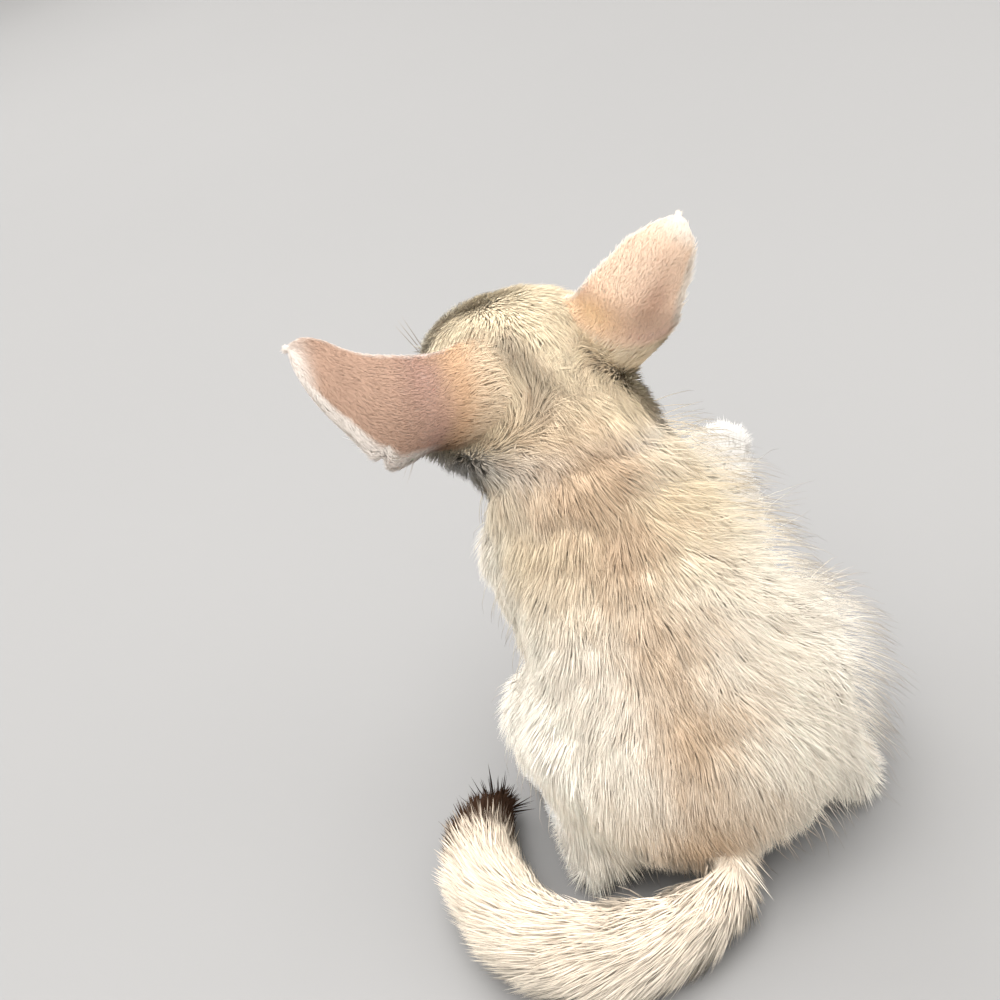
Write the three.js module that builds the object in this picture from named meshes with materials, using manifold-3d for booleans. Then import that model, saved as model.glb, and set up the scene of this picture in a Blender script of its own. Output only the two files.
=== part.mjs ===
// A fennec fox kit, about seven weeks old, sitting on its haunches with its right forepaw lifted.
// Life size, in millimetres. The kit faces -Y, +X is its left side, +Z is up and the floor is z = 0.
// Surfaces lie at the tips of the short coat. Every piece of flesh is read off one blended body.

import * as THREE from "three";
import { mergeVertices } from "three/addons/utils/BufferGeometryUtils.js";
import Module from "manifold-3d";

// Driving dimensions
const CROWN_HEIGHT = 156; // floor to the top of the skull
const HIP_HALF_WIDTH = 47; // outside of the thighs, from the middle of the rump
const HIP_SHIFT = -9; // the kit sits with its weight on its right hip
const HEAD_HALF_WIDTH = 30;
const HEAD_YAW = 0.55; // the head looks to its left, in radians
const HEAD_ROLL = -0.25; // and tips towards its right
const EAR_LENGTH = 60; // from the root, inside the fur, to the tip
const EAR_HALF_WIDTH = 15.5;
const EYE_RADIUS = 6.3;
const FOREARM_RADIUS = 8;
const PAW_WIDTH = 17;
const TAIL_RADIUS = 12.5;
const GAP = 0.3; // between the faces of neighbouring pieces
const FLOOR_DIP = 0.8; // how much of a resting form is pared off to make its small flat

const LEFT = 1;
const RIGHT = -1;
const UP = new THREE.Vector3(0, 0, 1);

const at = (x, y, z) => new THREE.Vector3(x, y, z);
const mix = THREE.MathUtils.lerp;

// Distance fields: each form is a function of a point, negative inside.

function ellipsoid(centre, radii, tilt = 0) {
  // tilt turns the form about X, front end down when positive
  const turn = new THREE.Quaternion().setFromAxisAngle(at(1, 0, 0), -tilt);
  const p = at(0, 0, 0);
  return (point) => {
    p.copy(point).sub(centre).applyQuaternion(turn);
    const near = Math.hypot(p.x / radii.x, p.y / radii.y, p.z / radii.z);
    const steep = Math.hypot(p.x / radii.x ** 2, p.y / radii.y ** 2, p.z / radii.z ** 2);
    return near === 0 ? -Math.min(radii.x, radii.y, radii.z) : (near * (near - 1)) / steep;
  };
}

function limb(from, to, radiusFrom, radiusTo) {
  const along = to.clone().sub(from);
  const lengthSq = along.lengthSq();
  const p = at(0, 0, 0);
  return (point) => {
    p.copy(point).sub(from);
    const t = THREE.MathUtils.clamp(p.dot(along) / lengthSq, 0, 1);
    return p.addScaledVector(along, -t).length() - mix(radiusFrom, radiusTo, t);
  };
}

function blend(softness, ...forms) {
  return (point) => {
    let d = forms[0](point);
    for (let i = 1; i < forms.length; i += 1) {
      const e = forms[i](point);
      const h = Math.max(softness - Math.abs(d - e), 0) / softness;
      d = Math.min(d, e) - (h * h * softness) / 4;
    }
    return d;
  };
}

// The point where a ray from inside a field comes out, at a distance of level from its surface.
function surfacePoint(field, inside, direction, level = 0, reach = 95) {
  const step = 1.5;
  const p = at(0, 0, 0);
  let far = 0;
  while (far < reach && field(p.copy(inside).addScaledVector(direction, far)) < level) far += step;
  let near = Math.max(far - step, 0);
  for (let i = 0; i < 24; i += 1) {
    const middle = (near + far) / 2;
    if (field(p.copy(inside).addScaledVector(direction, middle)) < level) near = middle;
    else far = middle;
  }
  return inside.clone().addScaledVector(direction, (near + far) / 2);
}

// Meshes and solids

function solid(geometry) {
  const bare = geometry.clone();
  bare.deleteAttribute("normal");
  bare.deleteAttribute("uv");
  const merged = mergeVertices(bare, 1e-4);
  return new wasm.Manifold(
    new wasm.Mesh({
      numProp: 3,
      vertProperties: new Float32Array(merged.attributes.position.array),
      triVerts: new Uint32Array(merged.index.array),
    }),
  );
}

function geometryOf(body) {
  const mesh = body.getMesh();
  const geometry = new THREE.BufferGeometry();
  geometry.setAttribute("position", new THREE.BufferAttribute(new Float32Array(mesh.vertProperties), 3));
  geometry.setIndex(new THREE.BufferAttribute(new Uint32Array(mesh.triVerts), 1));
  geometry.computeVertexNormals();
  return geometry;
}

// A ball whose points are carried out along their rays to the surface of a field.
function cast(field, centre, detail, level = 0) {
  const geometry = new THREE.IcosahedronGeometry(1, detail);
  const position = geometry.attributes.position;
  const direction = at(0, 0, 0);
  for (let i = 0; i < position.count; i += 1) {
    direction.fromBufferAttribute(position, i).normalize();
    const p = surfacePoint(field, centre, direction, level);
    position.setXYZ(i, p.x, p.y, p.z);
  }
  return solid(geometry);
}

function ball(centre, radii, turn = new THREE.Quaternion(), around = 12, down = 8) {
  const geometry = new THREE.SphereGeometry(1, around, down);
  const placed = new THREE.Matrix4().compose(centre, turn, radii);
  return solid(geometry.applyMatrix4(placed));
}

// A round bar along a curve, with its own radius at each ring and a point at each end.
function bar(curve, radiusAt, rings, sides, flatten = 1) {
  const frames = curve.computeFrenetFrames(rings, false);
  const points = [];
  const triangles = [];
  for (let i = 0; i <= rings; i += 1) {
    const centre = curve.getPointAt(i / rings);
    const radius = radiusAt(i / rings);
    for (let j = 0; j < sides; j += 1) {
      const angle = (j / sides) * Math.PI * 2;
      const p = centre.clone();
      p.addScaledVector(frames.normals[i], Math.cos(angle) * radius * flatten);
      p.addScaledVector(frames.binormals[i], Math.sin(angle) * radius);
      points.push(p);
    }
  }
  for (let i = 0; i < rings; i += 1) {
    for (let j = 0; j < sides; j += 1) {
      const a = i * sides + j;
      const b = i * sides + ((j + 1) % sides);
      triangles.push(a, b, b + sides, a, b + sides, a + sides);
    }
  }
  const last = rings * sides;
  points.push(curve.getPointAt(0).addScaledVector(curve.getTangentAt(0), -radiusAt(0) * 0.5));
  points.push(curve.getPointAt(1).addScaledVector(curve.getTangentAt(1), radiusAt(1) * 0.5));
  const [tail, nose] = [points.length - 2, points.length - 1];
  for (let j = 0; j < sides; j += 1) {
    const k = (j + 1) % sides;
    triangles.push(tail, k, j, nose, last + j, last + k);
  }
  return solid(closed(points, triangles));
}

function closed(points, triangles) {
  const geometry = new THREE.BufferGeometry().setFromPoints(points);
  geometry.setIndex(triangles);
  return geometry;
}

// A flat tapered lock: rings of three points along its spine, flat below and ridged above, and a
// point at the tip. Each station gives the middle of the lock, the way its ridge faces, its half
// width and its thickness.
function lock(stations, tip) {
  const points = [];
  const triangles = [];
  stations.forEach((station, i) => {
    const next = i + 1 < stations.length ? stations[i + 1].middle : tip;
    const along = next.clone().sub(station.middle);
    const across = at(0, 0, 0).crossVectors(along, station.out).normalize();
    for (const [side, rise] of [[1, -0.4], [0, 0.6], [-1, -0.4]]) {
      const p = station.middle.clone().addScaledVector(across, side * station.half);
      points.push(p.addScaledVector(station.out, rise * station.thick));
    }
  });
  const last = (stations.length - 1) * 3;
  for (let a = 0; a < last; a += 1) {
    const b = a - (a % 3) + ((a + 1) % 3);
    triangles.push(a, b + 3, b, a, a + 3, b + 3);
  }
  triangles.push(0, 1, 2);
  points.push(tip);
  for (let j = 0; j < 3; j += 1) triangles.push(last + ((j + 1) % 3), last + j, last + 3);
  return solid(closed(points, triangles));
}

const largest = (body) => body.decompose().sort((a, b) => b.volume() - a.volume())[0];
const onFloor = (body) => body.trimByPlane([0, 0, 1], 0);
const curveThrough = (...points) => new THREE.CatmullRomCurve3(points);

// A frame whose Z looks along a direction and whose X lies level.
function facing(direction) {
  const z = direction.clone().normalize();
  const x = at(0, 0, 0).crossVectors(UP, z).normalize();
  const y = at(0, 0, 0).crossVectors(z, x);
  return new THREE.Quaternion().setFromRotationMatrix(new THREE.Matrix4().makeBasis(x, y, z));
}

const wasm = await Module();
wasm.setup();

// The body as one blended form

const rumpCentre = at(HIP_SHIFT, 16, 33);
const skull = at(0, -34, CROWN_HEIGHT - 24.5);

// The head is described facing straight ahead and then turned on the top of the neck.
const headPivot = at(0, -24, 118);
const headTurn = new THREE.Quaternion().setFromEuler(new THREE.Euler(0, HEAD_ROLL, HEAD_YAW, "ZYX"));
const headPose = new THREE.Matrix4()
  .makeTranslation(headPivot)
  .multiply(new THREE.Matrix4().makeRotationFromQuaternion(headTurn))
  .multiply(new THREE.Matrix4().makeTranslation(headPivot.clone().negate()));
const headUnpose = headPose.clone().invert();
const posed = (point) => point.clone().applyMatrix4(headPose);

function posedField(field) {
  const p = at(0, 0, 0);
  return (point) => field(p.copy(point).applyMatrix4(headUnpose));
}

function posedSolid(body) {
  return solid(geometryOf(body).applyMatrix4(headPose));
}

const thighForms = (side) => {
  const hip = at(HIP_SHIFT + side * 25, 13, 46);
  const knee = at(HIP_SHIFT + side * (HIP_HALF_WIDTH - 12), -22, 33);
  const heel = at(HIP_SHIFT + side * (HIP_HALF_WIDTH - 10), 21, 9);
  return blend(18, limb(hip, knee, 20, 12.5), limb(knee, heel, 11, 8.5));
};

const shoulder = { [LEFT]: at(19, -29, 84), [RIGHT]: at(-26, -27, 85) };
const elbow = { [LEFT]: at(20, -20, 56), [RIGHT]: at(-36, -13, 60) };
const wrist = { [LEFT]: at(5, -42, 10), [RIGHT]: at(-44, -39, 84) };

const armForms = (side) => limb(shoulder[side], elbow[side], 13, 9.5);

const trunk = blend(
  16,
  ellipsoid(rumpCentre, at(40, 35, 35)),
  ellipsoid(at(HIP_SHIFT * 0.95, 3, 60), at(36, 31, 35)),
  ellipsoid(at(HIP_SHIFT * 0.55, -14, 87), at(31, 29, 32)),
  ellipsoid(at(HIP_SHIFT * 0.2, -23, 112), at(25, 22, 24)),
);

const headForms = blend(
  8,
  ellipsoid(skull, at(HEAD_HALF_WIDTH, 25, 24.5)),
  ellipsoid(at(17, -43, 123), at(15, 15, 13)),
  ellipsoid(at(-17, -43, 123), at(15, 15, 13)),
  ellipsoid(at(0, -50, 136), at(21, 14, 13)),
  limb(at(0, -56, 124.5), at(0, -72, 119.5), 12, 7),
  limb(at(0, -52, 117), at(0, -69, 114), 8, 4.8),
);

const upperBody = blend(9, trunk, armForms(LEFT), armForms(RIGHT), posedField(headForms));
const flesh = blend(9, upperBody, thighForms(LEFT), thighForms(RIGHT));

const TRUNK_DETAIL = 7;
const NECK_DETAIL = 6;
const HEAD_DETAIL = 8;
const THIGH_DETAIL = 5;
const ARM_DETAIL = 4;
const CLEAR_LEVEL = 0.35; // how much larger the forms are that clear space for the limbs
const trunkCentre = at(HIP_SHIFT * 0.7, -4, 58);
const neckCentre = at(HIP_SHIFT * 0.2, -26, 109);
const headCentre = posed(at(0, -46, 129));
const thighCentre = (side) => at(HIP_SHIFT + side * 30, 0, 28);
const armCentre = (side) => shoulder[side].clone().lerp(elbow[side], 0.5);

const bodySolid = cast(upperBody, trunkCentre, TRUNK_DETAIL);
const bodyClear = cast(flesh, trunkCentre, TRUNK_DETAIL, GAP);
const neckSolid = cast(upperBody, neckCentre, NECK_DETAIL);
const headSolid = cast(flesh, headCentre, HEAD_DETAIL);
const headClear = cast(flesh, headCentre, HEAD_DETAIL, GAP);

// Thin cuts part the body where a person would name its pieces.

const neckAxis = at(0, -0.32, 0.947).normalize();
const headCut = neckAxis.dot(at(0, -28, 112));
const neckCut = neckAxis.dot(at(0, -18, 103));
const asArray = (v) => [v.x, v.y, v.z];
const above = (body, cut) => body.trimByPlane(asArray(neckAxis), cut + GAP / 2);
const below = (body, cut) => body.trimByPlane(asArray(neckAxis.clone().negate()), -(cut - GAP / 2));

function thighCutter(side, grow) {
  const centre = at(HIP_SHIFT + side * 42, -1, 28);
  return ball(centre, at(26 + grow, 41 + grow, 37 + grow), new THREE.Quaternion(), 20, 12);
}

function armCutter(side, grow) {
  const middle = shoulder[side].clone().lerp(elbow[side], 0.45).add(at(side * 8, 0, 0));
  const along = shoulder[side].clone().sub(elbow[side]);
  return ball(middle, at(14 + grow, 17 + grow, 26 + grow), facing(along), 14, 10);
}

const pieces = {};
const thighClear = {};
const armClear = {};
let torso = onFloor(below(bodySolid, neckCut));
for (const side of [LEFT, RIGHT]) {
  const name = side === LEFT ? "left" : "right";
  const [thighSpace, armSpace] = [thighCutter(side, GAP), armCutter(side, GAP)];
  const thigh = cast(flesh, thighCentre(side), THIGH_DETAIL).intersect(thighCutter(side, 0));
  const upperArm = cast(flesh, armCentre(side), ARM_DETAIL).intersect(armCutter(side, 0));
  thighClear[side] = cast(flesh, thighCentre(side), THIGH_DETAIL, CLEAR_LEVEL).intersect(thighSpace);
  armClear[side] = cast(flesh, armCentre(side), ARM_DETAIL, CLEAR_LEVEL).intersect(armSpace);
  pieces[`thigh_${name}`] = largest(onFloor(thigh));
  pieces[`upper_arm_${name}`] = largest(upperArm.subtract(thighSpace));
  torso = torso.subtract(thighSpace).subtract(armSpace);
}
pieces.torso = largest(torso);
pieces.neck = largest(below(above(neckSolid, neckCut), headCut));

// Face

const eyeAim = (side) => at(side * 0.48, -0.87, 0.1).normalize();
const eyeCentre = (side) => {
  const onFace = surfacePoint(headForms, at(side * 8, -46, 131), eyeAim(side));
  return onFace.addScaledVector(eyeAim(side), 0.5 - EYE_RADIUS);
};

function lidOpening(side) {
  const [half, up, down] = [5.4, 4.2, 3.7];
  const almond = new THREE.Shape();
  almond.moveTo(-half, -0.4);
  almond.quadraticCurveTo(0, up * 2, half, 0.5);
  almond.quadraticCurveTo(0, -down * 2, -half, -0.4);
  const options = { depth: 12, bevelEnabled: false, curveSegments: 8 };
  const geometry = new THREE.ExtrudeGeometry(almond, options).translate(0, 0, 2);
  return solid(geometry.applyQuaternion(facing(eyeAim(side))).translate(...eyeCentre(side)));
}

const nose = at(0, -78, 120.6);
const mouthHeight = (t) => mix(114.6, 117.2, t * t);

function mouthLine() {
  const points = [];
  for (let i = -6; i <= 6; i += 1) {
    const t = Math.abs(i) / 6;
    const inside = at(0, mix(-72, -60, t), mouthHeight(t));
    const turn = (Math.sign(i) * Math.PI * Math.min(t * 3, 1)) / 2;
    points.push(surfacePoint(headForms, inside, at(Math.sin(turn), -Math.cos(turn), 0)));
  }
  return bar(curveThrough(...points), () => 0.75, 20, 4);
}

function philtrum() {
  const points = [];
  for (const z of [118.6, 116.6, 114.6]) points.push(surfacePoint(headForms, at(0, -66, z), at(0, -1, 0)));
  return bar(curveThrough(...points), () => 0.6, 3, 4);
}

let head = above(headSolid, headCut);
for (const side of [LEFT, RIGHT]) {
  const name = side === LEFT ? "left" : "right";
  const eyeball = (radius, around, down) =>
    posedSolid(ball(eyeCentre(side), at(radius, radius, radius), facing(eyeAim(side)), around, down));
  head = head.add(eyeball(EYE_RADIUS + GAP + 1.1, 14, 9));
  head = head.subtract(eyeball(EYE_RADIUS + GAP, 12, 8));
  head = head.subtract(posedSolid(lidOpening(side)));
  pieces[`eye_${name}`] = eyeball(EYE_RADIUS, 12, 8);
}
head = head.subtract(posedSolid(mouthLine())).subtract(posedSolid(philtrum()));
pieces.head = largest(head);

function noseSolid() {
  let leather = ball(nose, at(4.6, 3.4, 3.3), new THREE.Quaternion(), 12, 8);
  for (const side of [LEFT, RIGHT]) {
    const nostril = nose.clone().add(at(side * 2.3, -3, -0.3));
    const turn = new THREE.Quaternion().setFromAxisAngle(UP, side * 0.5);
    leather = leather.subtract(ball(nostril, at(1, 1.6, 0.75), turn, 6, 5));
  }
  return largest(posedSolid(leather).subtract(headClear));
}
pieces.nose = noseSolid();

// Ears: cupped blades on broad bases. The left one is held out to the side and rolls in towards its
// tip, the right one is laid back and open.

const EAR_STEP = 0.25; // the shares of the ear's length between the values that follow
const EAR_BLADES = {
  [LEFT]: {
    root: posed(at(19.2, -22.4, 130.4)),
    axis: at(0.748, 0.29, 0.597).normalize(),
    outward: at(0.452, 0.436, -0.779),
    length: EAR_LENGTH * 1.04,
    halfWidths: [0.6, 0.92, 0.86, 0.94, 0.62, 0.42],
    shifts: [-0.33, -0.33, 0.07, 0.4, 0.18, -0.28],
  },
  [RIGHT]: {
    root: posed(at(-16.2, -19, 133.7)),
    axis: at(-0.413, 0.469, 0.78).normalize(),
    outward: at(-0.83, 0.159, -0.535),
    length: EAR_LENGTH * 0.96,
    halfWidths: [0.98, 1.08, 0.95, 0.86, 0.64, 0.42],
    shifts: [-0.33, -0.33, 0, -0.04, 0.04, 0.14],
  },
};

// A smooth run through values set a step apart, the first of them one step before the root.
function profile(values, t) {
  const ends = [2 * values[0] - values[1], 2 * values.at(-1) - values.at(-2)];
  const v = [ends[0], ...values, ends[1]];
  const x = THREE.MathUtils.clamp(t / EAR_STEP + 1, 0, values.length - 1.0001);
  const i = Math.floor(x);
  const k = x - i;
  const [a, b, c, d] = v.slice(i, i + 4);
  return b + 0.5 * k * (c - a + k * (2 * a - 5 * b + 4 * c - d + k * (3 * (b - c) + d - a)));
}

function ear(side) {
  const [across, rings, start] = [8, 14, -0.24];
  const { root, axis, outward, length, halfWidths, shifts } = EAR_BLADES[side];
  const wide = outward.clone().addScaledVector(axis, -outward.dot(axis)).normalize();
  const back = at(0, 0, 0).crossVectors(axis, wide).multiplyScalar(side);
  const outer = [];
  const inner = [];
  for (let i = 0; i <= rings; i += 1) {
    const t = mix(start, 1, 1 - (1 - i / rings) ** 1.35);
    const rounding = Math.sqrt(Math.max(1 - (Math.max(t - 0.88, 0) / 0.12) ** 2, 0.02));
    const half = EAR_HALF_WIDTH * profile(halfWidths, t) * rounding;
    const cup = mix(2.1, 0.75, THREE.MathUtils.smoothstep(t, -0.1, 0.55));
    const radius = half / Math.sin(Math.min(cup, Math.PI / 2));
    const spine = root.clone().addScaledVector(axis, length * t);
    spine.addScaledVector(back, 3 * t * t - radius * 0.55);
    spine.addScaledVector(wide, EAR_HALF_WIDTH * profile(shifts, t));
    for (let j = 0; j <= across; j += 1) {
      const u = (j / across) * 2 - 1;
      const wall = mix(2.3, 1.3, Math.max(t, 0)) * (1 - 0.35 * u * u);
      const spread = u * cup;
      const ray = wide.clone().multiplyScalar(Math.sin(spread)).addScaledVector(back, Math.cos(spread));
      outer.push(spine.clone().addScaledVector(ray, radius));
      inner.push(spine.clone().addScaledVector(ray, radius - wall));
    }
  }
  return shell(outer, inner, rings, across, side);
}

// Two matching grids, one behind the other, closed round all four edges.
function shell(outer, inner, rings, across, side) {
  const count = outer.length;
  const triangles = [];
  const quad = (a, b, c, d) => {
    if (side === LEFT) triangles.push(a, b, c, a, c, d);
    else triangles.push(a, c, b, a, d, c);
  };
  const row = across + 1;
  for (let i = 0; i < rings; i += 1) {
    for (let j = 0; j < across; j += 1) {
      const a = i * row + j;
      quad(a, a + row, a + row + 1, a + 1);
      quad(count + a + 1, count + a + row + 1, count + a + row, count + a);
    }
    const [first, last] = [i * row, i * row + across];
    quad(first, count + first, count + first + row, first + row);
    quad(last, last + row, count + last + row, count + last);
  }
  for (let j = 0; j < across; j += 1) {
    const end = rings * row + j;
    quad(j, j + 1, count + j + 1, count + j);
    quad(end, count + end, count + end + 1, end + 1);
  }
  return solid(closed([...outer, ...inner], triangles));
}

for (const side of [LEFT, RIGHT]) {
  const name = side === LEFT ? "left" : "right";
  pieces[`ear_${name}`] = largest(ear(side).subtract(headClear));
}

// Long sparse hairs of the right flank, gathered into thin locks that stand out of the coat

const FLANK_REACH = 10; // past the coat
const FLANK_LOCKS = { thigh_right: 7, torso: 4 };

function flankLock(inside, way, length) {
  const root = surfacePoint(flesh, inside, way);
  const place = (t) => {
    const p = root.clone().addScaledVector(way, mix(-4, length, t));
    return p.addScaledVector(UP, -0.22 * length * t * t);
  };
  const out = at(0, 0.5, 1).normalize();
  const stations = [0, 0.5].map((t) => ({ middle: place(t), out, half: mix(1.3, 1, t), thick: 1.6 }));
  return lock(stations, place(1));
}

for (const [name, count] of Object.entries(FLANK_LOCKS)) {
  const onThigh = name === "thigh_right";
  for (let i = 0; i < count; i += 1) {
    const t = (i + 0.5) / count;
    const stray = (i * 0.38) % 1;
    const inside = onThigh ? at(-22, 8, 44) : at(-8, mix(2, 12, t), mix(102, 74, t));
    const around = onThigh ? mix(-0.1, 0.85, stray) : mix(0.05, 0.45, stray);
    const climb = onThigh ? mix(0.45, -0.35, t) : 0;
    const way = at(-Math.cos(around), Math.sin(around), climb).normalize();
    pieces[name] = largest(pieces[name].add(flankLock(inside, way, FLANK_REACH * (0.85 + 0.25 * stray))));
  }
}

// Legs

// A paw: a pad, four toes spread in front of it and a short claw on each, pointing along a heading.
function paw(centre, heading, width, length, height) {
  const turn = facing(heading);
  const place = (x, y, z) => at(x, y, z).applyQuaternion(turn).add(centre);
  const pad = at(width * 0.46, height * 0.5, length * 0.42);
  let body = ball(place(0, 0, -length * 0.08), pad, turn, 10, 7);
  for (let i = 0; i < 4; i += 1) {
    const spread = (i - 1.5) / 1.5;
    const middle = Math.abs(i - 1.5) < 1;
    const toe = place(spread * width * 0.35, -height * 0.1, length * (middle ? 0.32 : 0.2));
    body = body.add(ball(toe, at(width * 0.155, height * 0.37, length * 0.21), turn, 7, 5));
    const claw = new THREE.ConeGeometry(0.8, 4.2, 4).rotateX(Math.PI / 2 + 0.35);
    claw.translate(spread * width * 0.35, -height * 0.12, length * (middle ? 0.55 : 0.43));
    body = body.add(solid(claw.applyQuaternion(turn).translate(...centre)));
  }
  return body;
}

function foreleg(side) {
  const name = side === LEFT ? "left" : "right";
  const lifted = side === RIGHT;
  const heading = lifted ? at(-0.1, -0.93, -0.25).normalize() : at(0.05, -1, -0.05).normalize();
  const pawCentre = wrist[side].clone().addScaledVector(heading, lifted ? 9 : 6);
  if (!lifted) pawCentre.z = 5.2;
  const bend = elbow[side].clone().lerp(wrist[side], 0.5).add(at(0, 1.5, 0));
  const radiusAt = (t) => FOREARM_RADIUS * mix(1.12, 0.84, t);
  const foot = (grow) => paw(pawCentre, heading, PAW_WIDTH + grow, 25 + grow, 12 + grow);
  const forearm = bar(curveThrough(elbow[side], bend, wrist[side]), radiusAt, 6, 10);
  pieces[`forearm_${name}`] = largest(
    forearm
      .subtract(bodyClear)
      .subtract(armClear[side])
      .subtract(thighClear[side])
      .subtract(foot(2 * GAP)),
  );
  pieces[`forepaw_${name}`] = largest(lifted ? foot(0) : onFloor(foot(0)));
}

function hindFoot(side) {
  const name = side === LEFT ? "left" : "right";
  const heel = at(HIP_SHIFT + side * (HIP_HALF_WIDTH - 10), 20, 7);
  const ballOfFoot = at(HIP_SHIFT + side * (HIP_HALF_WIDTH - 5), -24, 6.4);
  const heading = ballOfFoot.clone().sub(heel).setZ(0).normalize();
  const route = curveThrough(heel, heel.clone().lerp(ballOfFoot, 0.5).setZ(7.4), ballOfFoot);
  const instep = bar(route, (t) => mix(7.8, 6.6, t), 6, 10);
  const toes = paw(ballOfFoot.clone().addScaledVector(heading, 5).setZ(5.4), heading, 16, 28, 12);
  pieces[`hind_foot_${name}`] = largest(
    onFloor(instep.add(toes).subtract(bodyClear).subtract(thighClear[side])),
  );
}

for (const side of [LEFT, RIGHT]) {
  foreleg(side);
  hindFoot(side);
}

// Tail, laid on the floor round the left side, in three lengths: a core with bushy locks over it

const tailRoute = curveThrough(
  at(HIP_SHIFT, 34, 18),
  at(HIP_SHIFT + 10, 52, 13),
  at(22, 59, TAIL_RADIUS - FLOOR_DIP),
  at(43, 51, TAIL_RADIUS - FLOOR_DIP),
  at(56, 30, TAIL_RADIUS - FLOOR_DIP),
  at(59, 4, 11),
  at(53, -18, 8),
);
const TAIL_CORE = 0.48; // share of the tail's radius that its core fills
const TAIL_LOCK_LENGTH = 28;
const TAIL_TUFTS = 7; // rows of locks along the tail
const LOCKS_ROUND = 5;
const tailCuts = [0.46, 0.74];
const tailRadius = (t) => {
  const end = Math.sqrt(Math.max(1 - (Math.abs(t - 0.3) / 0.72) ** 4, 0.02));
  return TAIL_RADIUS * Math.min(0.62 + t * 1.2, 1) * end;
};

// One lock of the tail, rising from the core to the tips of the coat as it runs along the tail.
function tailLock(start, turn, length, width) {
  const share = length / tailRoute.getLength();
  const place = (t, height) => {
    const s = Math.min(start + share * t, 1);
    const along = tailRoute.getTangentAt(s);
    const level = at(0, 0, 0).crossVectors(UP, along).normalize();
    const out = at(0, 0, 0).crossVectors(along, level).multiplyScalar(Math.cos(turn));
    out.addScaledVector(level, Math.sin(turn));
    const over = Math.max(start + share * t - 1, 0) * tailRoute.getLength();
    const middle = tailRoute.getPointAt(s).addScaledVector(along, over);
    return { out, middle: middle.addScaledVector(out, tailRadius(s) * height) };
  };
  // how far along the lock, how far out, half width and thickness
  const rings = [
    [0, 0.36, 0.3, 1.8],
    [0.42, 0.8, 0.5, 2.4],
    [0.76, 0.95, 0.34, 1.6],
  ];
  const stations = rings.map(([t, height, half, thick]) => ({
    ...place(t, height),
    half: half * width,
    thick,
  }));
  return lock(stations, place(1, 1.02).middle);
}

let tailWhole = bar(tailRoute, (t) => tailRadius(t) * TAIL_CORE, 16, 8);
for (let row = 0; row < TAIL_TUFTS; row += 1) {
  for (let k = 0; k < LOCKS_ROUND; k += 1) {
    const start = 0.06 + (row / TAIL_TUFTS) * 0.83;
    const turn = ((k + (row % 2) / 2) / LOCKS_ROUND) * Math.PI * 2;
    const width = 0.95 * ((Math.PI * 2) / LOCKS_ROUND) * tailRadius(start);
    const length = TAIL_LOCK_LENGTH * (1 + 0.12 * Math.sin(row * 5 + k * 3));
    tailWhole = tailWhole.add(tailLock(start, turn, length, width));
  }
}
tailWhole = onFloor(tailWhole).subtract(bodyClear).subtract(thighClear[LEFT]);

function tailLength(body, from, to) {
  const side = (t, sign) => {
    const normal = tailRoute.getTangentAt(t).multiplyScalar(sign);
    return [asArray(normal), normal.dot(tailRoute.getPointAt(t)) + GAP / 2];
  };
  let length = body;
  if (from > 0) length = length.trimByPlane(...side(from, 1));
  if (to < 1) length = length.trimByPlane(...side(to, -1));
  return largest(length);
}

pieces.tail_root = tailLength(tailWhole, 0, tailCuts[0]);
pieces.tail_middle = tailLength(tailWhole, tailCuts[0], tailCuts[1]);
pieces.tail_tip = tailLength(tailWhole, tailCuts[1], 1);

// Materials and the finished group

const finish = (color, roughness) => new THREE.MeshStandardMaterial({ color, roughness, metalness: 0 });
const coat = finish(0xe3d6bd, 0.95);
const paleCoat = finish(0xf3efe6, 0.95);
const earSkin = finish(0xd9b09c, 0.9);
const darkTip = finish(0x3a2e26, 0.95);
const eyeGlaze = finish(0x1a110c, 0.08);
const noseLeather = finish(0x2b2323, 0.45);

function materialFor(name) {
  if (name.startsWith("ear")) return earSkin;
  if (name.startsWith("eye")) return eyeGlaze;
  if (name === "nose") return noseLeather;
  if (name === "tail_tip") return darkTip;
  return /paw|foot|forearm/.test(name) ? paleCoat : coat;
}

const kit = new THREE.Group();
for (const [name, body] of Object.entries(pieces)) {
  const mesh = new THREE.Mesh(geometryOf(body), materialFor(name));
  mesh.name = name;
  kit.add(mesh);
}

// The origin is on the floor, under the middle of the kit.
const extent = new THREE.Box3().setFromObject(kit);
const middle = extent.getCenter(new THREE.Vector3());
kit.position.set(-middle.x, -middle.y, 0);

export default kit;
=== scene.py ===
# A still, life-size fennec fox kit of about seven weeks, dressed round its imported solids: one skin
# under a coat of tufts, with ears, eyes, lids, nose, mouth, whiskers, claws and a bushy tail.
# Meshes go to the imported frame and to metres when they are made.

import math

import bmesh
import bpy
import numpy as np
from mathutils import Matrix, Vector
from mathutils.bvhtree import BVHTree
from mathutils.kdtree import KDTree


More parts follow.
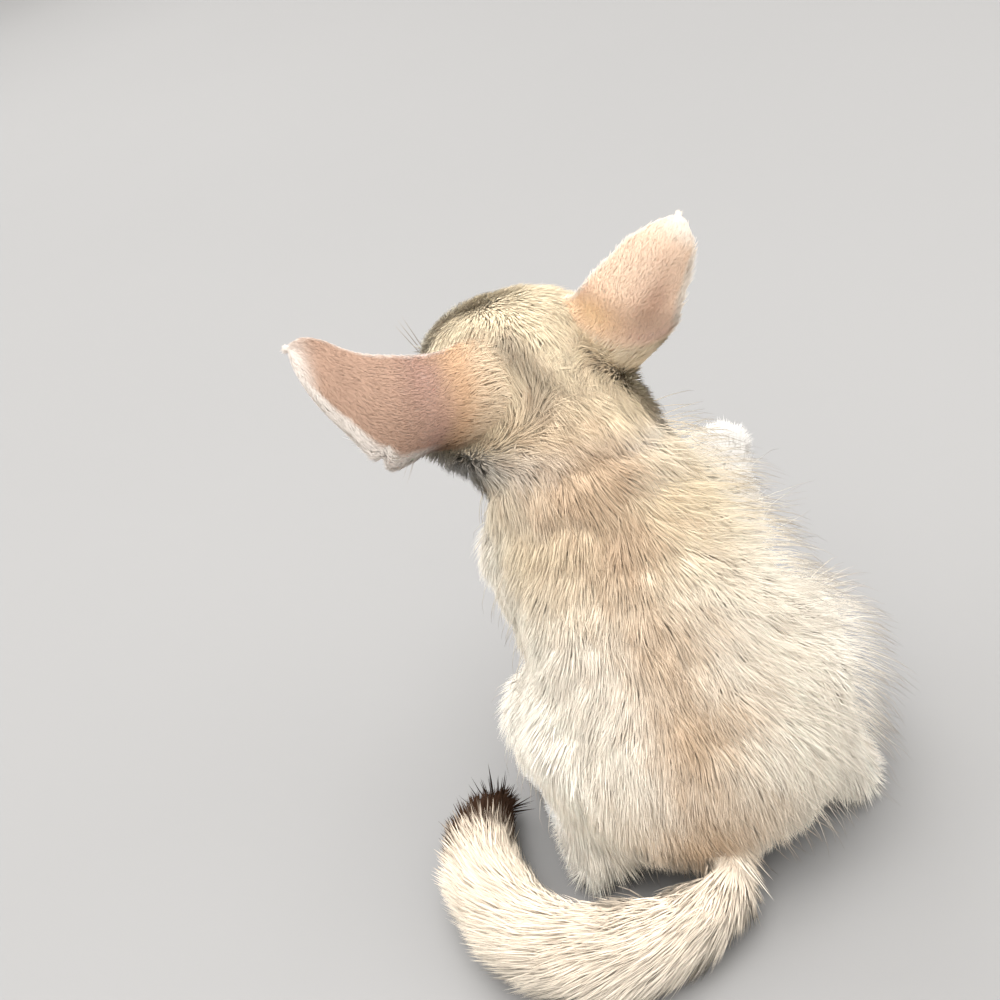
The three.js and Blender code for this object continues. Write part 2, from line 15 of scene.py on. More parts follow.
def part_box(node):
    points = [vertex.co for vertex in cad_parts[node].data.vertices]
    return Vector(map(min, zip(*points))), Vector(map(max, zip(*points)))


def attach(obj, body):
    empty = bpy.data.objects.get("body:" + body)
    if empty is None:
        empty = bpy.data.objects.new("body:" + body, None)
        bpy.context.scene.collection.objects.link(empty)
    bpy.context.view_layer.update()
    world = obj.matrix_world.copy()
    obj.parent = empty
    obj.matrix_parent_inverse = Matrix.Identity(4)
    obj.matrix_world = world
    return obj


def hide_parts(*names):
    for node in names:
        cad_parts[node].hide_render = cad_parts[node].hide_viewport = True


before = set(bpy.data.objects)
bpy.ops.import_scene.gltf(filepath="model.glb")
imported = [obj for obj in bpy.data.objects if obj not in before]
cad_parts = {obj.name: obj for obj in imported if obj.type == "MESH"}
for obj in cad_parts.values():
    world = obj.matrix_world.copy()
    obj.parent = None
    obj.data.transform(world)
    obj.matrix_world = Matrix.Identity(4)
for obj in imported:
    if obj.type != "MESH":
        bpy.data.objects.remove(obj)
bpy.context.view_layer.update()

MM = 0.001
SHIFT = np.array([-3.187, 1.834, 0.0])  # from the body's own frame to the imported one
UP = np.array([0.0, 0.0, 1.0])
SIDES = {"left": 1, "right": -1}
FLOOR_CLEAR = 0.2  # tips that would dip under the floor lie this far above it
WAVE_COUNT = 16  # plane waves in each smooth noise
BRIGHTEST = 0.97  # no tip of a hair is brighter than this
rng = np.random.default_rng(7)


# Small helpers


def vec(*xyz):
    return np.array(xyz, float)


def unit(v):
    return v / np.maximum(np.linalg.norm(v, axis=-1, keepdims=True), 1e-9)


def mix(a, b, t):
    return a + (b - a) * t


def smooth(low, high, x):
    t = np.clip((x - low) / (high - low), 0, 1)
    return t * t * (3 - 2 * t)


def column(values):
    return np.asarray(values, float)[:, None]


def tone(red, green, blue):
    """A colour as a screen shows it, 0 to 255, in linear light."""
    c = np.array([red, green, blue], float) / 255
    return np.where(c <= 0.04045, c / 12.92, ((c + 0.055) / 1.055) ** 2.4)


def waves(points, wavelength, seed):
    """Smooth noise of about unit size, a sum of plane waves in random directions."""
    draw = np.random.default_rng(seed)
    total = np.zeros(len(points))
    for _ in range(WAVE_COUNT):
        direction = unit(draw.normal(size=3))
        pace = 2 * math.pi / (wavelength * draw.uniform(0.7, 1.5))
        wave = np.sin(points @ direction * pace + draw.uniform(0, 2 * math.pi))
        total += wave * draw.normal()
    return total / math.sqrt(WAVE_COUNT / 2)


def near(points, centre, reach):
    """1 at a centre, falling softly to 0 a few reaches away."""
    gap = np.linalg.norm(points - centre, axis=1)
    return np.exp(-((gap / reach) ** 2))


def near_path(points, path, reach):
    """1 on a line through several points, falling softly to 0 beside it."""
    best = np.full(len(points), 1e9)
    for a, b in zip(path[:-1], path[1:]):
        along = b - a
        t = np.clip((points - a) @ along / (along @ along), 0, 1)
        best = np.minimum(best, np.linalg.norm(points - a - column(t) * along, axis=1))
    return np.exp(-((best / reach) ** 2))


# The head is described facing straight ahead and then turned on the top of the neck.

HEAD_YAW = 0.55
HEAD_ROLL = -0.25
HEAD_PIVOT = vec(0, -24, 118)


def rotation(angle, axis):
    return np.array(Matrix.Rotation(angle, 3, axis))


HEAD_TURN = rotation(HEAD_YAW, "Z") @ rotation(HEAD_ROLL, "Y")


def posed(points):
    return (points - HEAD_PIVOT) @ HEAD_TURN.T + HEAD_PIVOT


def unposed(points):
    return (points - HEAD_PIVOT) @ HEAD_TURN + HEAD_PIVOT


def facing(direction):
    """Columns x, y and z of a frame whose z looks along a direction and whose x lies level."""
    z = unit(direction)
    x = unit(np.cross(UP, z))
    return np.stack([x, np.cross(z, x), z], axis=1)


def curve_through(points, count, steps=40):
    """Points evenly spaced along a smooth curve through the given ones."""
    points = np.asarray(points, float)
    p = np.vstack([2 * points[0] - points[1], points, 2 * points[-1] - points[-2]])
    fine = []
    for i in range(1, len(p) - 2):
        d0, d1, d2 = [math.sqrt(np.linalg.norm(p[i + k] - p[i + k - 1])) for k in range(3)]
        m1 = ((p[i] - p[i - 1]) / d0 - (p[i + 1] - p[i - 1]) / (d0 + d1) + (p[i + 1] - p[i]) / d1) * d1
        m2 = ((p[i + 1] - p[i]) / d1 - (p[i + 2] - p[i]) / (d1 + d2) + (p[i + 2] - p[i + 1]) / d2) * d1
        t = column(np.linspace(0, 1, steps, endpoint=False))
        fine.append(
            (2 * t**3 - 3 * t**2 + 1) * p[i]
            + (t**3 - 2 * t**2 + t) * m1
            + (3 * t**2 - 2 * t**3) * p[i + 1]
            + (t**3 - t**2) * m2
        )
    fine = np.vstack([*fine, points[-1:]])
    run = np.concatenate([[0], np.cumsum(np.linalg.norm(np.diff(fine, axis=0), axis=1))])
    marks = np.linspace(0, run[-1], count)
    return np.stack([np.interp(marks, run, fine[:, k]) for k in range(3)], axis=1)


# Making meshes


def packed(points):
    """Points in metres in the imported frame, in the form that a mesh takes."""
    return ((points + SHIFT) * MM).astype(np.float32).ravel()


def new_mesh(name, points, faces, colours=None, uvs=None, normals=None):
    """An object from points in millimetres and faces that all have the same number of corners."""
    points = np.asarray(points, float)
    faces = np.asarray(faces, np.int32)
    corners = faces.shape[1]
    mesh = bpy.data.meshes.new(name)
    mesh.vertices.add(len(points))
    mesh.vertices.foreach_set("co", packed(points))
    mesh.loops.add(faces.size)
    mesh.loops.foreach_set("vertex_index", faces.ravel())
    mesh.polygons.add(len(faces))
    mesh.polygons.foreach_set("loop_start", np.arange(len(faces), dtype=np.int32) * corners)
    mesh.polygons.foreach_set("use_smooth", np.ones(len(faces), bool))
    mesh.update(calc_edges=True)
    if colours is not None:
        paint(mesh, colours)
    if uvs is not None:
        layer = mesh.uv_layers.new(name="OFBake")
        layer.uv.foreach_set("vector", np.asarray(uvs, np.float32)[faces.ravel()].ravel())
    if normals is not None:
        mesh.normals_split_custom_set_from_vertices(normals.astype(np.float32))
    obj = bpy.data.objects.new(name, mesh)
    bpy.context.scene.collection.objects.link(obj)
    return obj


def paint(mesh, colours):
    layer = mesh.color_attributes.new("marking", "FLOAT_COLOR", "POINT")
    rgba = np.ones((len(colours), 4), np.float32)
    rgba[:, :3] = colours
    layer.data.foreach_set("color", rgba.ravel())


def rows_of(items, field, width, kind=np.float32):
    """What a list of a mesh's items holds in one field, as rows of numbers."""
    rows = np.zeros(len(items) * width, kind)
    items.foreach_get(field, rows)
    return rows.reshape(-1, width)


def points_of(mesh):
    """A mesh's points in millimetres in the body's own frame."""
    return rows_of(mesh.vertices, "co", 3).astype(float) / MM - SHIFT


def set_points(mesh, points):
    mesh.vertices.foreach_set("co", packed(points))
    mesh.update()


def normals_of(mesh):
    return rows_of(mesh.vertices, "normal", 3).astype(float)


def edges_of(mesh):
    return rows_of(mesh.edges, "vertices", 2, np.int32)


def relax(values, edges, rounds, share=0.5):
    """Moves each point's value towards the mean of its neighbours, a number of times."""
    count = np.bincount(edges.ravel(), minlength=len(values))
    count = column(np.maximum(count, 1))
    share = np.broadcast_to(np.asarray(share, float).reshape(-1, 1), (len(values), 1))
    for _ in range(rounds):
        total = np.zeros_like(values)
        for k in range(values.shape[1]):
            total[:, k] = np.bincount(edges[:, 0], values[edges[:, 1], k], len(values))
            total[:, k] += np.bincount(edges[:, 1], values[edges[:, 0], k], len(values))
        values = values + share * (total / count - values)
    return values


TUBE_END = 0.6  # how far a tube's ends stand out, as a share of their radius


def tube(path, radii, sides=8):
    """Points and triangles of a closed round bar along a path, with its own radius at each point."""
    path = np.asarray(path, float)
    radii = np.broadcast_to(np.asarray(radii, float), (len(path),))
    along = unit(np.gradient(path, axis=0))
    side = np.zeros_like(along)
    guide = UP if abs(along[0] @ UP) < 0.9 else vec(1, 0, 0)
    side[0] = unit(np.cross(along[0], guide))
    for i in range(1, len(path)):
        side[i] = unit(side[i - 1] - along[i] * (side[i - 1] @ along[i]))
    other = np.cross(along, side)
    angle = np.arange(sides) / sides * 2 * math.pi
    ring = side[:, None] * np.cos(angle)[:, None] + other[:, None] * np.sin(angle)[:, None]
    points = (path[:, None] + ring * radii[:, None, None]).reshape(-1, 3)
    ends = [path[0] - along[0] * radii[0] * TUBE_END, path[-1] + along[-1] * radii[-1] * TUBE_END]
    points = np.vstack([points, ends])
    faces = []
    for i in range(len(path) - 1):
        for j in range(sides):
            a, b = i * sides + j, i * sides + (j + 1) % sides
            faces += [(a, b, b + sides), (a, b + sides, a + sides)]
    last = (len(path) - 1) * sides
    for j in range(sides):
        k = (j + 1) % sides
        faces += [(len(points) - 2, k, j), (len(points) - 1, last + j, last + k)]
    return points, np.array(faces)


def ring_faces(rings, around):
    """Faces between closed rings of points, each ring with as many points as the others."""
    a = np.arange(around)
    b = (a + 1) % around
    first = np.stack([a + around, b + around, b, a], axis=1)
    return np.vstack([first + k * around for k in range(rings - 1)])


def joined(parts):
    """One set of points, faces and part numbers from several."""
    points, faces, owner, start = [], [], [], 0
    for number, (p, f) in enumerate(parts):
        points.append(p)
        faces.append(f + start)
        owner.append(np.full(len(p), number))
        start += len(p)
    return np.vstack(points), np.vstack(faces), np.concatenate(owner)


class Sampler:
    """Draws evenly spread root points on a mesh and reads values there."""

    def __init__(self, mesh):
        mesh.calc_loop_triangles()
        self.corners = rows_of(mesh.loop_triangles, "vertices", 3, np.int32)
        self.loops = rows_of(mesh.loop_triangles, "loops", 3, np.int32)
        self.points = points_of(mesh)
        self.normals = normals_of(mesh)
        a, b, c = (self.points[self.corners[:, k]] for k in range(3))
        self.area = np.linalg.norm(np.cross(b - a, c - a), axis=1) / 2
        self.uv = rows_of(mesh.uv_layers[0].uv, "vector", 2) if mesh.uv_layers else None

    def draw(self, count, weight):
        """count roots, crowded in proportion to a weight for each point of the mesh."""
        mass = np.cumsum(self.area * weight[self.corners].mean(axis=1))
        marks = (np.arange(count) + rng.random(count)) / count * mass[-1]
        self.face = np.minimum(np.searchsorted(mass, marks), len(mass) - 1)
        r1, r2 = np.sqrt(rng.random(count)), rng.random(count)
        self.bary = np.stack([1 - r1, r1 * (1 - r2), r1 * r2], axis=1)[:, :, None]
        return self.read(self.points), unit(self.read(self.normals))

    def read(self, values):
        return (values[self.corners[self.face]] * self.bary).sum(axis=1)

    def read_uv(self):
        return (self.uv[self.loops[self.face]] * self.bary).sum(axis=1)


CAMERA_PLACE = vec(20.20, 385.43, 320.52)
CAMERA_ELEVATION = math.radians(28)
CAMERA_ROLL = math.radians(-20)
CAMERA_LENS = 60.66
SENSOR_WIDTH = 36

back = vec(0, math.cos(CAMERA_ELEVATION), math.sin(CAMERA_ELEVATION))
level = vec(-1, 0, 0)
upward = np.cross(level, -back)
camera_right = level * math.cos(CAMERA_ROLL) + upward * math.sin(CAMERA_ROLL)
camera_up = upward * math.cos(CAMERA_ROLL) - level * math.sin(CAMERA_ROLL)

camera = bpy.data.objects.new("camera", bpy.data.cameras.new("camera"))
bpy.context.scene.collection.objects.link(camera)
camera.data.sensor_width = SENSOR_WIDTH
camera.data.lens = CAMERA_LENS
camera.data.clip_start = 0.01
turn = Matrix(np.stack([camera_right, camera_up, back], axis=1).tolist()).to_4x4()
camera.matrix_world = Matrix.Translation(Vector((CAMERA_PLACE + SHIFT) * MM)) @ turn
bpy.context.scene.camera = camera


# Tail route, the same as the solids'

TAIL_RADIUS = 12.5
TAIL_CORE = 0.48  # the skin's radius in the tail, as a share of the solids'
TAIL_Z = 11.7
TAIL_POINTS = 200
TAIL_SKIP = 4
HIP_SHIFT = -9
tail_line = curve_through(
    [
        (HIP_SHIFT, 34, 18),
        (HIP_SHIFT + 10, 52, 13),
        (22, 59, TAIL_Z),
        (43, 51, TAIL_Z),
        (56, 30, TAIL_Z),
        (59, 4, 11),
        (53, -18, 8),
    ],
    TAIL_POINTS,
)
tail_marks = tail_line[::TAIL_SKIP]
tail_ways = unit(np.gradient(tail_line, axis=0))[::TAIL_SKIP]


def tail_radius(t):
    end = np.sqrt(np.maximum(1 - (np.abs(t - 0.3) / 0.72) ** 4, 0.02))
    return TAIL_RADIUS * np.minimum(0.62 + t * 1.2, 1) * end


# Ear blades, the same as the solids': half widths and sideways shifts as shares of a usual half
# width, at every quarter of the length from a quarter below the root

EAR_HALF_WIDTH = 15.5
EAR_STEP = 0.25
EAR_BLADES = {
    "left": {
        "root": posed(vec(19.2, -22.4, 130.4)),
        "axis": unit(vec(0.748, 0.29, 0.597)),
        "outward": vec(0.452, 0.436, -0.779),
        "length": 62.4,
        "half_widths": (0.6, 0.92, 0.86, 0.94, 0.62, 0.42),
        "shifts": (-0.33, -0.33, 0.07, 0.4, 0.18, -0.28),
        "notch": 0.54,
    },
    "right": {
        "root": posed(vec(-16.2, -19, 133.7)),
        "axis": unit(vec(-0.413, 0.469, 0.78)),
        "outward": vec(-0.83, 0.159, -0.535),
        "length": 57.6,
        "half_widths": (0.98, 1.08, 0.95, 0.86, 0.64, 0.42),
        "shifts": (-0.33, -0.33, 0, -0.04, 0.04, 0.14),
        "notch": 0.2,
    },
}


def profile(values, t):
    """A smooth run through values a step apart, the first of them one step before the root."""
    v = np.array([2 * values[0] - values[1], *values, 2 * values[-1] - values[-2]])
    x = np.clip(t / EAR_STEP + 1, 0, len(values) - 1.0001)
    i = x.astype(int)
    k = x - i
    a, b, c, d = (v[i + n] for n in range(4))
    return b + 0.5 * k * (c - a + k * (2 * a - 5 * b + 4 * c - d + k * (3 * (b - c) + d - a)))


# Skin: one closed surface from all the solids of flesh and the tail's core, inside them by the
# depth of the coat.

COAT = {  # region: depth of the coat, length of a tuft, its half width, crowding, relaxing
    "head": (4.2, 8.4, 0.14, 4.2, 0.5),
    "neck": (5.6, 11.0, 0.16, 3.8, 0.6),
    "torso": (6.0, 11.0, 0.17, 3.5, 0.6),
    "thigh": (5.6, 10.5, 0.17, 3.5, 0.6),
    "upper_arm": (4.8, 9.5, 0.16, 3.8, 0.5),
    "forearm": (3.0, 6.8, 0.15, 4.6, 0.3),
    "forepaw": (1.8, 4.8, 0.12, 6.4, 0.06),
    "hind_foot": (1.6, 4.6, 0.13, 5.6, 0.08),
    "tail": (0.0, 18.5, 0.28, 1.6, 0.1),
}
DEPTH, LENGTH, HALF, CROWDING, RELAXING = range(5)
REGIONS = list(COAT)
coat_table = np.array([COAT[r] for r in REGIONS])


def region_of(node):
    return node.rsplit("_left")[0].rsplit("_right")[0]


def share_of(share, *names):
    """How far points belong to the named regions, from their shares of all of them."""
    return share[:, [REGIONS.index(name) for name in names]].sum(axis=1)


FLESH = [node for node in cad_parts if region_of(node) in REGIONS]
VOXEL = 1.3
SWELL = 0.5  # closes the thin gaps between the solids before they are remeshed
BORDER_ROUNDS = 9  # how widely the regions blend into each other
RELAX_ROUNDS = 26
LAST_ROUNDS = 3
LOCK_THICKNESS = 3.4  # the solids' thin locks are thinner than this, and the skin leaves them out
LOCKS_X = -25  # they stand on this side of the body
LOCK_MARGIN = 3  # edges round a lock that are drawn in with it
LOCK_ROUNDS = 250


def flesh_parts():
    """Each solid of flesh with its points merged, then the tail's core, and their region numbers."""
    parts, regions = [], []
    for node in FLESH:
        bm = bmesh.new()
        bm.from_mesh(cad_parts[node].data)
        bmesh.ops.remove_doubles(bm, verts=bm.verts, dist=1e-6)
        bmesh.ops.triangulate(bm, faces=bm.faces)
        bm.normal_update()
        points = np.array([v.co for v in bm.verts]) / MM - SHIFT
        points += np.array([v.normal for v in bm.verts]) * SWELL
        parts.append((points, np.array([[v.index for v in f.verts] for f in bm.faces])))
        regions.append(REGIONS.index(region_of(node)))
        bm.free()
    radii = tail_radius(np.linspace(0, 1, TAIL_POINTS))[::TAIL_SKIP] * TAIL_CORE
    parts.append(tube(tail_marks, radii, sides=16))
    regions.append(REGIONS.index("tail"))
    return parts, regions


def largest_part(mesh):
    """Deletes all but the largest connected surface."""
    edges = edges_of(mesh)
    label = np.arange(len(mesh.vertices))
    while True:
        low = np.minimum(label[edges[:, 0]], label[edges[:, 1]])
        fresh = label.copy()
        np.minimum.at(fresh, edges[:, 0], low)
        np.minimum.at(fresh, edges[:, 1], low)
        fresh = fresh[fresh]
        if (fresh == label).all():
            break
        label = fresh
    main = np.bincount(label).argmax()
    bm = bmesh.new()
    bm.from_mesh(mesh)
    bm.verts.ensure_lookup_table()
    loose = [bm.verts[i] for i in np.nonzero(label != main)[0]]
    bmesh.ops.delete(bm, geom=loose, context="VERTS")
    bm.to_mesh(mesh)
    bm.free()


def without_locks(mesh, surface, edges, trunk):
    """Draws the thin locks that stand out of the trunk and thighs back into the surface."""
    rough = Sampler(mesh)
    tree = BVHTree.FromPolygons(rough.points.tolist(), rough.corners.tolist())
    thin = np.zeros(len(surface), bool)
    for i in np.nonzero(trunk)[0]:
        inward = Vector(-rough.normals[i])
        depth = tree.ray_cast(Vector(surface[i]) + inward * 0.2, inward)[3]
        thin[i] = depth is not None and depth < LOCK_THICKNESS
    for _ in range(LOCK_MARGIN):
        thin[edges[thin[edges].any(axis=1)]] = True
    close = edges[thin[edges].any(axis=1)]
    return relax(surface, close, LOCK_ROUNDS, np.where(thin, 0.9, 0))


def make_skin():
    parts, part_regions = flesh_parts()
    points, faces, owner = joined(parts)
    rough = new_mesh("rough", points, faces)
    modifier = rough.modifiers.new("voxels", "REMESH")
    modifier.mode = "VOXEL"
    modifier.voxel_size = VOXEL * MM
    shown = rough.evaluated_get(bpy.context.evaluated_depsgraph_get())
    mesh = bpy.data.meshes.new_from_object(shown)
    bpy.data.objects.remove(rough)
    largest_part(mesh)
    mesh.name = "skin"
    mesh.polygons.foreach_set("use_smooth", np.ones(len(mesh.polygons), bool))

    tree = BVHTree.FromPolygons(points.tolist(), faces.tolist())
    edges = edges_of(mesh)
    surface = points_of(mesh)
    region_of_face = np.array(part_regions)[owner[faces[:, 0]]]
    found = [tree.find_nearest(p)[2] for p in surface.tolist()]
    share = np.eye(len(REGIONS))[region_of_face[found]]
    share = relax(share, edges, BORDER_ROUNDS)
    trunk = share_of(share, "torso", "thigh") > 0.5
    surface = without_locks(mesh, surface, edges, trunk & (surface[:, 0] < LOCKS_X))
    surface = relax(surface, edges, RELAX_ROUNDS, share @ coat_table[:, RELAXING])
    set_points(mesh, surface)
    depth = (share @ coat_table[:, DEPTH]) * face_share(surface)
    surface = surface - normals_of(mesh) * column(depth)
    surface = relax(surface, edges, LAST_ROUNDS, np.minimum(share @ coat_table[:, RELAXING], 0.5))
    set_points(mesh, surface)
    obj = bpy.data.objects.new("skin", mesh)
    bpy.context.scene.collection.objects.link(obj)
    return obj, share


BROW = vec(21, -42, 146)  # on the left of the forehead, mirrored on the right


def brow_share(h):
    """1 on the sides of the forehead, where the short coat parts to both sides."""
    return near(np.stack([np.abs(h[:, 0]), h[:, 1], h[:, 2]], axis=1), BROW, 14)


def face_share(points):
    """How much of the coat's depth and length the head has: least at the nose and round the eyes."""
    h = unposed(points)
    back_of_face = mix(0.16, 1.0, smooth(-70, -50, h[:, 1]))
    head = (h[:, 2] > 100) & (h[:, 1] < -30)
    share = np.where(head, back_of_face, 1.0)
    for side in SIDES:
        share = np.minimum(share, 1 - 0.86 * near(points, eye_centre(side), 8.5))
    return np.minimum(share, 1 - 0.35 * smooth(130, 145, h[:, 2]))


def eye_centre(side):
    low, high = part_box("eye_" + side)
    return np.array((low + high) / 2) / MM - SHIFT


skin, region_share = make_skin()


def unwrap(obj):
    """A flat layout of the skin's own shape, for the baked colours."""
    bpy.context.view_layer.objects.active = obj
    obj.select_set(True)
    obj.data.uv_layers.new(name="OFBake")
    bpy.ops.object.mode_set(mode="EDIT")
    bpy.ops.mesh.select_all(action="SELECT")
    bpy.ops.uv.smart_project(angle_limit=math.radians(66), island_margin=0.004)
    bpy.ops.object.mode_set(mode="OBJECT")
    obj.select_set(False)


unwrap(skin)


body = Sampler(skin.data)
skin_tree = BVHTree.FromPolygons(body.points.tolist(), body.corners.tolist())


def on_skin(inside, direction):
    """Where a ray from a point far out on the head meets the skin on its way in."""
    direction = unit(direction)
    start = inside + direction * 40
    hit = skin_tree.ray_cast(Vector(start), Vector(-direction))[0]
    return np.array(hit) if hit else inside


def mouth_path():
    """The line of the mouth on the skin, from one corner round the muzzle to the other."""
    line = []
    for i in range(-9, 10):
        t = abs(i) / 9
        inside = posed(vec(0, mix(-72, -60, t), mix(114.6, 117.4, t * t)))
        turn = np.sign(i) * math.pi / 2 * min(t * 3, 1)
        line.append(on_skin(inside, HEAD_TURN @ vec(math.sin(turn), -math.cos(turn), 0)))
    return curve_through(line, 60)


MOUTH = mouth_path()


# Markings and painted shade, the same for skin and coat, as functions of the place on the body

STRAW = tone(246, 228, 196)
CREAM = tone(251, 241, 224)
WHITE = tone(253, 249, 243)
SAND = tone(212, 186, 158)
TICKED = tone(150, 120, 92)
SHADE = tone(132, 120, 108)
UMBER = tone(58, 42, 32)

CROWN_CREASE = vec(
    (5.3, -15.5, 149.4), (4.5, -14, 147.6), (2.5, -11.6, 144),
    (0.7, -9.7, 139.6), (0.9, -8.3, 136.4), (1.5, -7.1, 133.3),
)
SPINE = vec(
    (1.3, -1.3, 122.6), (0, 5.3, 113.2), (-1.3, 11.5, 103.6), (-4.6, 23.6, 87.3),
    (-7.1, 35.6, 68.2), (-4.9, 44.9, 49.5), (-2.8, 47.7, 39.1), (-2, 46, 24),
)
NAPE = vec(-2, 7, 108)
BRIDGE = vec(0, -62, 132)  # on the head as it faces straight ahead
TEAR = vec(10, -63, 127)  # the same, on the left, and mirrored on the right


def markings(points, share):
    """Colour of the coat at each point, with painted shade in the crown's crease and on the lifted
    paw, and how strongly it is ticked with dark tips, some of them painted shade round the crease.
    """
    h = unposed(points)
    region = {name: share[:, i] for i, name in enumerate(REGIONS)}
    colour = np.tile(CREAM, (len(points), 1))
    straw = region["head"] * smooth(-62, -40, h[:, 1])
    straw += 0.6 * region["neck"] * smooth(-40, -10, points[:, 1])
    straw += region["torso"] * smooth(70, 100, points[:, 2]) * smooth(-30, 0, points[:, 1])
    colour = mix(colour, STRAW, column(np.clip(straw, 0, 1)))
    front = region["torso"] + region["neck"] + region["upper_arm"]
    underside = smooth(-22, -46, points[:, 1]) * front
    chin = region["head"] * smooth(122, 112, h[:, 2])
    feet = region["forearm"] + region["forepaw"] + region["hind_foot"]
    colour = mix(colour, WHITE, column(np.clip(underside + chin + feet, 0, 1)))
    sideways = smooth(24, 44, np.abs(points[:, 0] - HIP_SHIFT))
    flank = np.clip((region["torso"] + region["thigh"]) * sideways, 0, 1)
    colour = mix(colour, WHITE, column(flank * 0.25))

    noise = waves(points, 16, 41)
    spine = near_path(points, SPINE, 15 + 2 * noise)
    nape = near(points, NAPE, 17)
    band = np.clip(spine * 0.85 + nape * 0.4 + 0.12 * noise * (spine + nape), 0, 1)
    colour = mix(colour, SAND, column(band))
    mottle = waves(points, 6, 43)
    mottled = np.clip(0.3 * mottle * (0.25 + band + 0.3 * straw), 0, 0.6)
    colour = mix(colour, SAND, column(mottled))
    # Painted shade: the crease on the crown is darkened towards SHADE.
    crease = near_path(points, CROWN_CREASE, 4.6)
    colour = mix(colour, SHADE, column(crease * 0.9))
    bridge = region["head"] * near(h, BRIDGE, 9)
    colour = mix(colour, STRAW, column(bridge * 0.5))
    for sign in SIDES.values():
        tear = near(h, TEAR * vec(sign, 1, 1), 4.5) * region["head"]
        colour = mix(colour, SAND, column(tear * 0.5))
    # Painted shade: the white coat of the lifted forepaw and forearm is darkened by up to about a
    # fifth.
    painted_paw_shade = (region["forearm"] + region["forepaw"]) * smooth(60, 75, points[:, 2])
    colour = colour * column(1 - 0.22 * painted_paw_shade)
    # Painted shade: round the crease on the crown more coat tips are dark.
    crease_shade_tips = near_path(points, CROWN_CREASE, 8)
    ticks = np.clip(0.03 + 0.42 * spine + 0.8 * nape + 0.4 * crease_shade_tips, 0, 0.9)
    ticks *= 1 - np.clip(feet + chin, 0, 1)
    return colour, ticks


def tail_mark(points):
    """The number of the mark on the tail's middle line that is nearest to each point."""
    return np.linalg.norm(points[:, None] - tail_marks[None], axis=2).argmin(axis=1)


def tail_colour(points):
    """The tail is cream with a sandy top. Its tip is darkened where its tufts are made."""
    top = smooth(8, 18, points[:, 2])
    return mix(CREAM, SAND, column(0.1 + top * 0.4))


# Which way the coat lies

NOSE_PLACE = vec(0, -78, 120.6)
NOSE = posed(NOSE_PLACE)
SHOULDER = {"left": vec(19, -29, 84), "right": vec(-26, -27, 85)}
ELBOW = {"left": vec(20, -20, 56), "right": vec(-36, -13, 60)}
WRIST = {"left": vec(5, -42, 10), "right": vec(-44, -39, 84)}
PAW_HEADING = {"left": unit(vec(0.05, -1, -0.05)), "right": unit(vec(-0.1, -0.93, -0.25))}


def by_side(points, values):
    """A value for the left or the right of the body, whichever a point is on."""
    return np.where(column(points[:, 0] > -8), values["left"], values["right"])


def lie(points, normals, share):
    """The direction in which the coat lies at each point."""
    from_middle = (points - vec(HIP_SHIFT * 0.6, 0, 0)) * vec(1, 0.4, 0)
    down = vec(0, 0.15, -1) + from_middle * column(0.012 * smooth(30, 75, points[:, 2]))
    fields = {
        "head": unit(points - NOSE) + vec(0, 0, -0.1),
        "neck": unit(points - NOSE) * 0.4 + vec(0, 0.1, -0.9),
        "torso": down,
        "thigh": vec(0, 0.4, -0.85) + from_middle * column(0.01 * smooth(35, 75, points[:, 2])),
        "upper_arm": by_side(points, {s: unit(ELBOW[s] - SHOULDER[s]) for s in SIDES}),
        "forearm": by_side(points, {s: unit(WRIST[s] - ELBOW[s]) for s in SIDES}),
        "forepaw": by_side(points, PAW_HEADING),
        "hind_foot": np.tile(vec(0, -1, -0.15), (len(points), 1)),
        "tail": tail_ways[tail_mark(points)],
    }
    total = sum(unit(fields[name]) * column(share[:, i]) for i, name in enumerate(REGIONS))
    return flattened(total, normals)


def flattened(flow, normals):
    """Directions without their share along the surface's normals."""
    return unit(flow - normals * column((flow * normals).sum(axis=1)))


def swirl(flow, normals, angle):
    """Turns directions about the surface's own normals."""
    across = np.cross(normals, flow)
    return flow * np.cos(column(angle)) + across * np.sin(column(angle))


# Tufts


TUFT_STEPS = {1: (0, 0.42, 1), 2: (0, 0.3, 0.66, 1), 3: (0, 0.2, 0.48, 0.76, 1)}
TUFT_WIDTHS = {1: (1.0,), 2: (1.0, 0.75), 3: (1.0, 0.85, 0.55)}
PIECE_TRIANGLES = 195000
PATCH = 0.003  # size of a tuft's own patch on the skin's layout
SOFT_SHADING = 1.0  # how far a tuft is shaded like the body under it


def tuft_paths(roots, normals, flow, length, rise, inner=1, droop=0.0, sink=0.5, bend=1.7):
    """Middle lines of tufts that leave the skin steeply and lie over towards their tips."""
    reach = np.sqrt(np.maximum(length**2 - rise**2, (0.3 * length) ** 2))
    paths = []
    for t in TUFT_STEPS[inner]:
        lift = rise * (1 - (1 - t) ** bend) - sink * (1 - t)
        p = roots + normals * column(lift) + flow * column(reach * t**1.1)
        p[:, 2] -= droop * length * t * t
        paths.append(p)
    return above_floor(np.stack(paths, axis=1))


def above_floor(paths):
    """Lifts what would dip under the floor to lie loosely on it."""
    floor = FLOOR_CLEAR + 0.25 * rng.random(paths.shape[:2])
    paths[:, :, 2] = np.maximum(paths[:, :, 2], floor)
    return paths


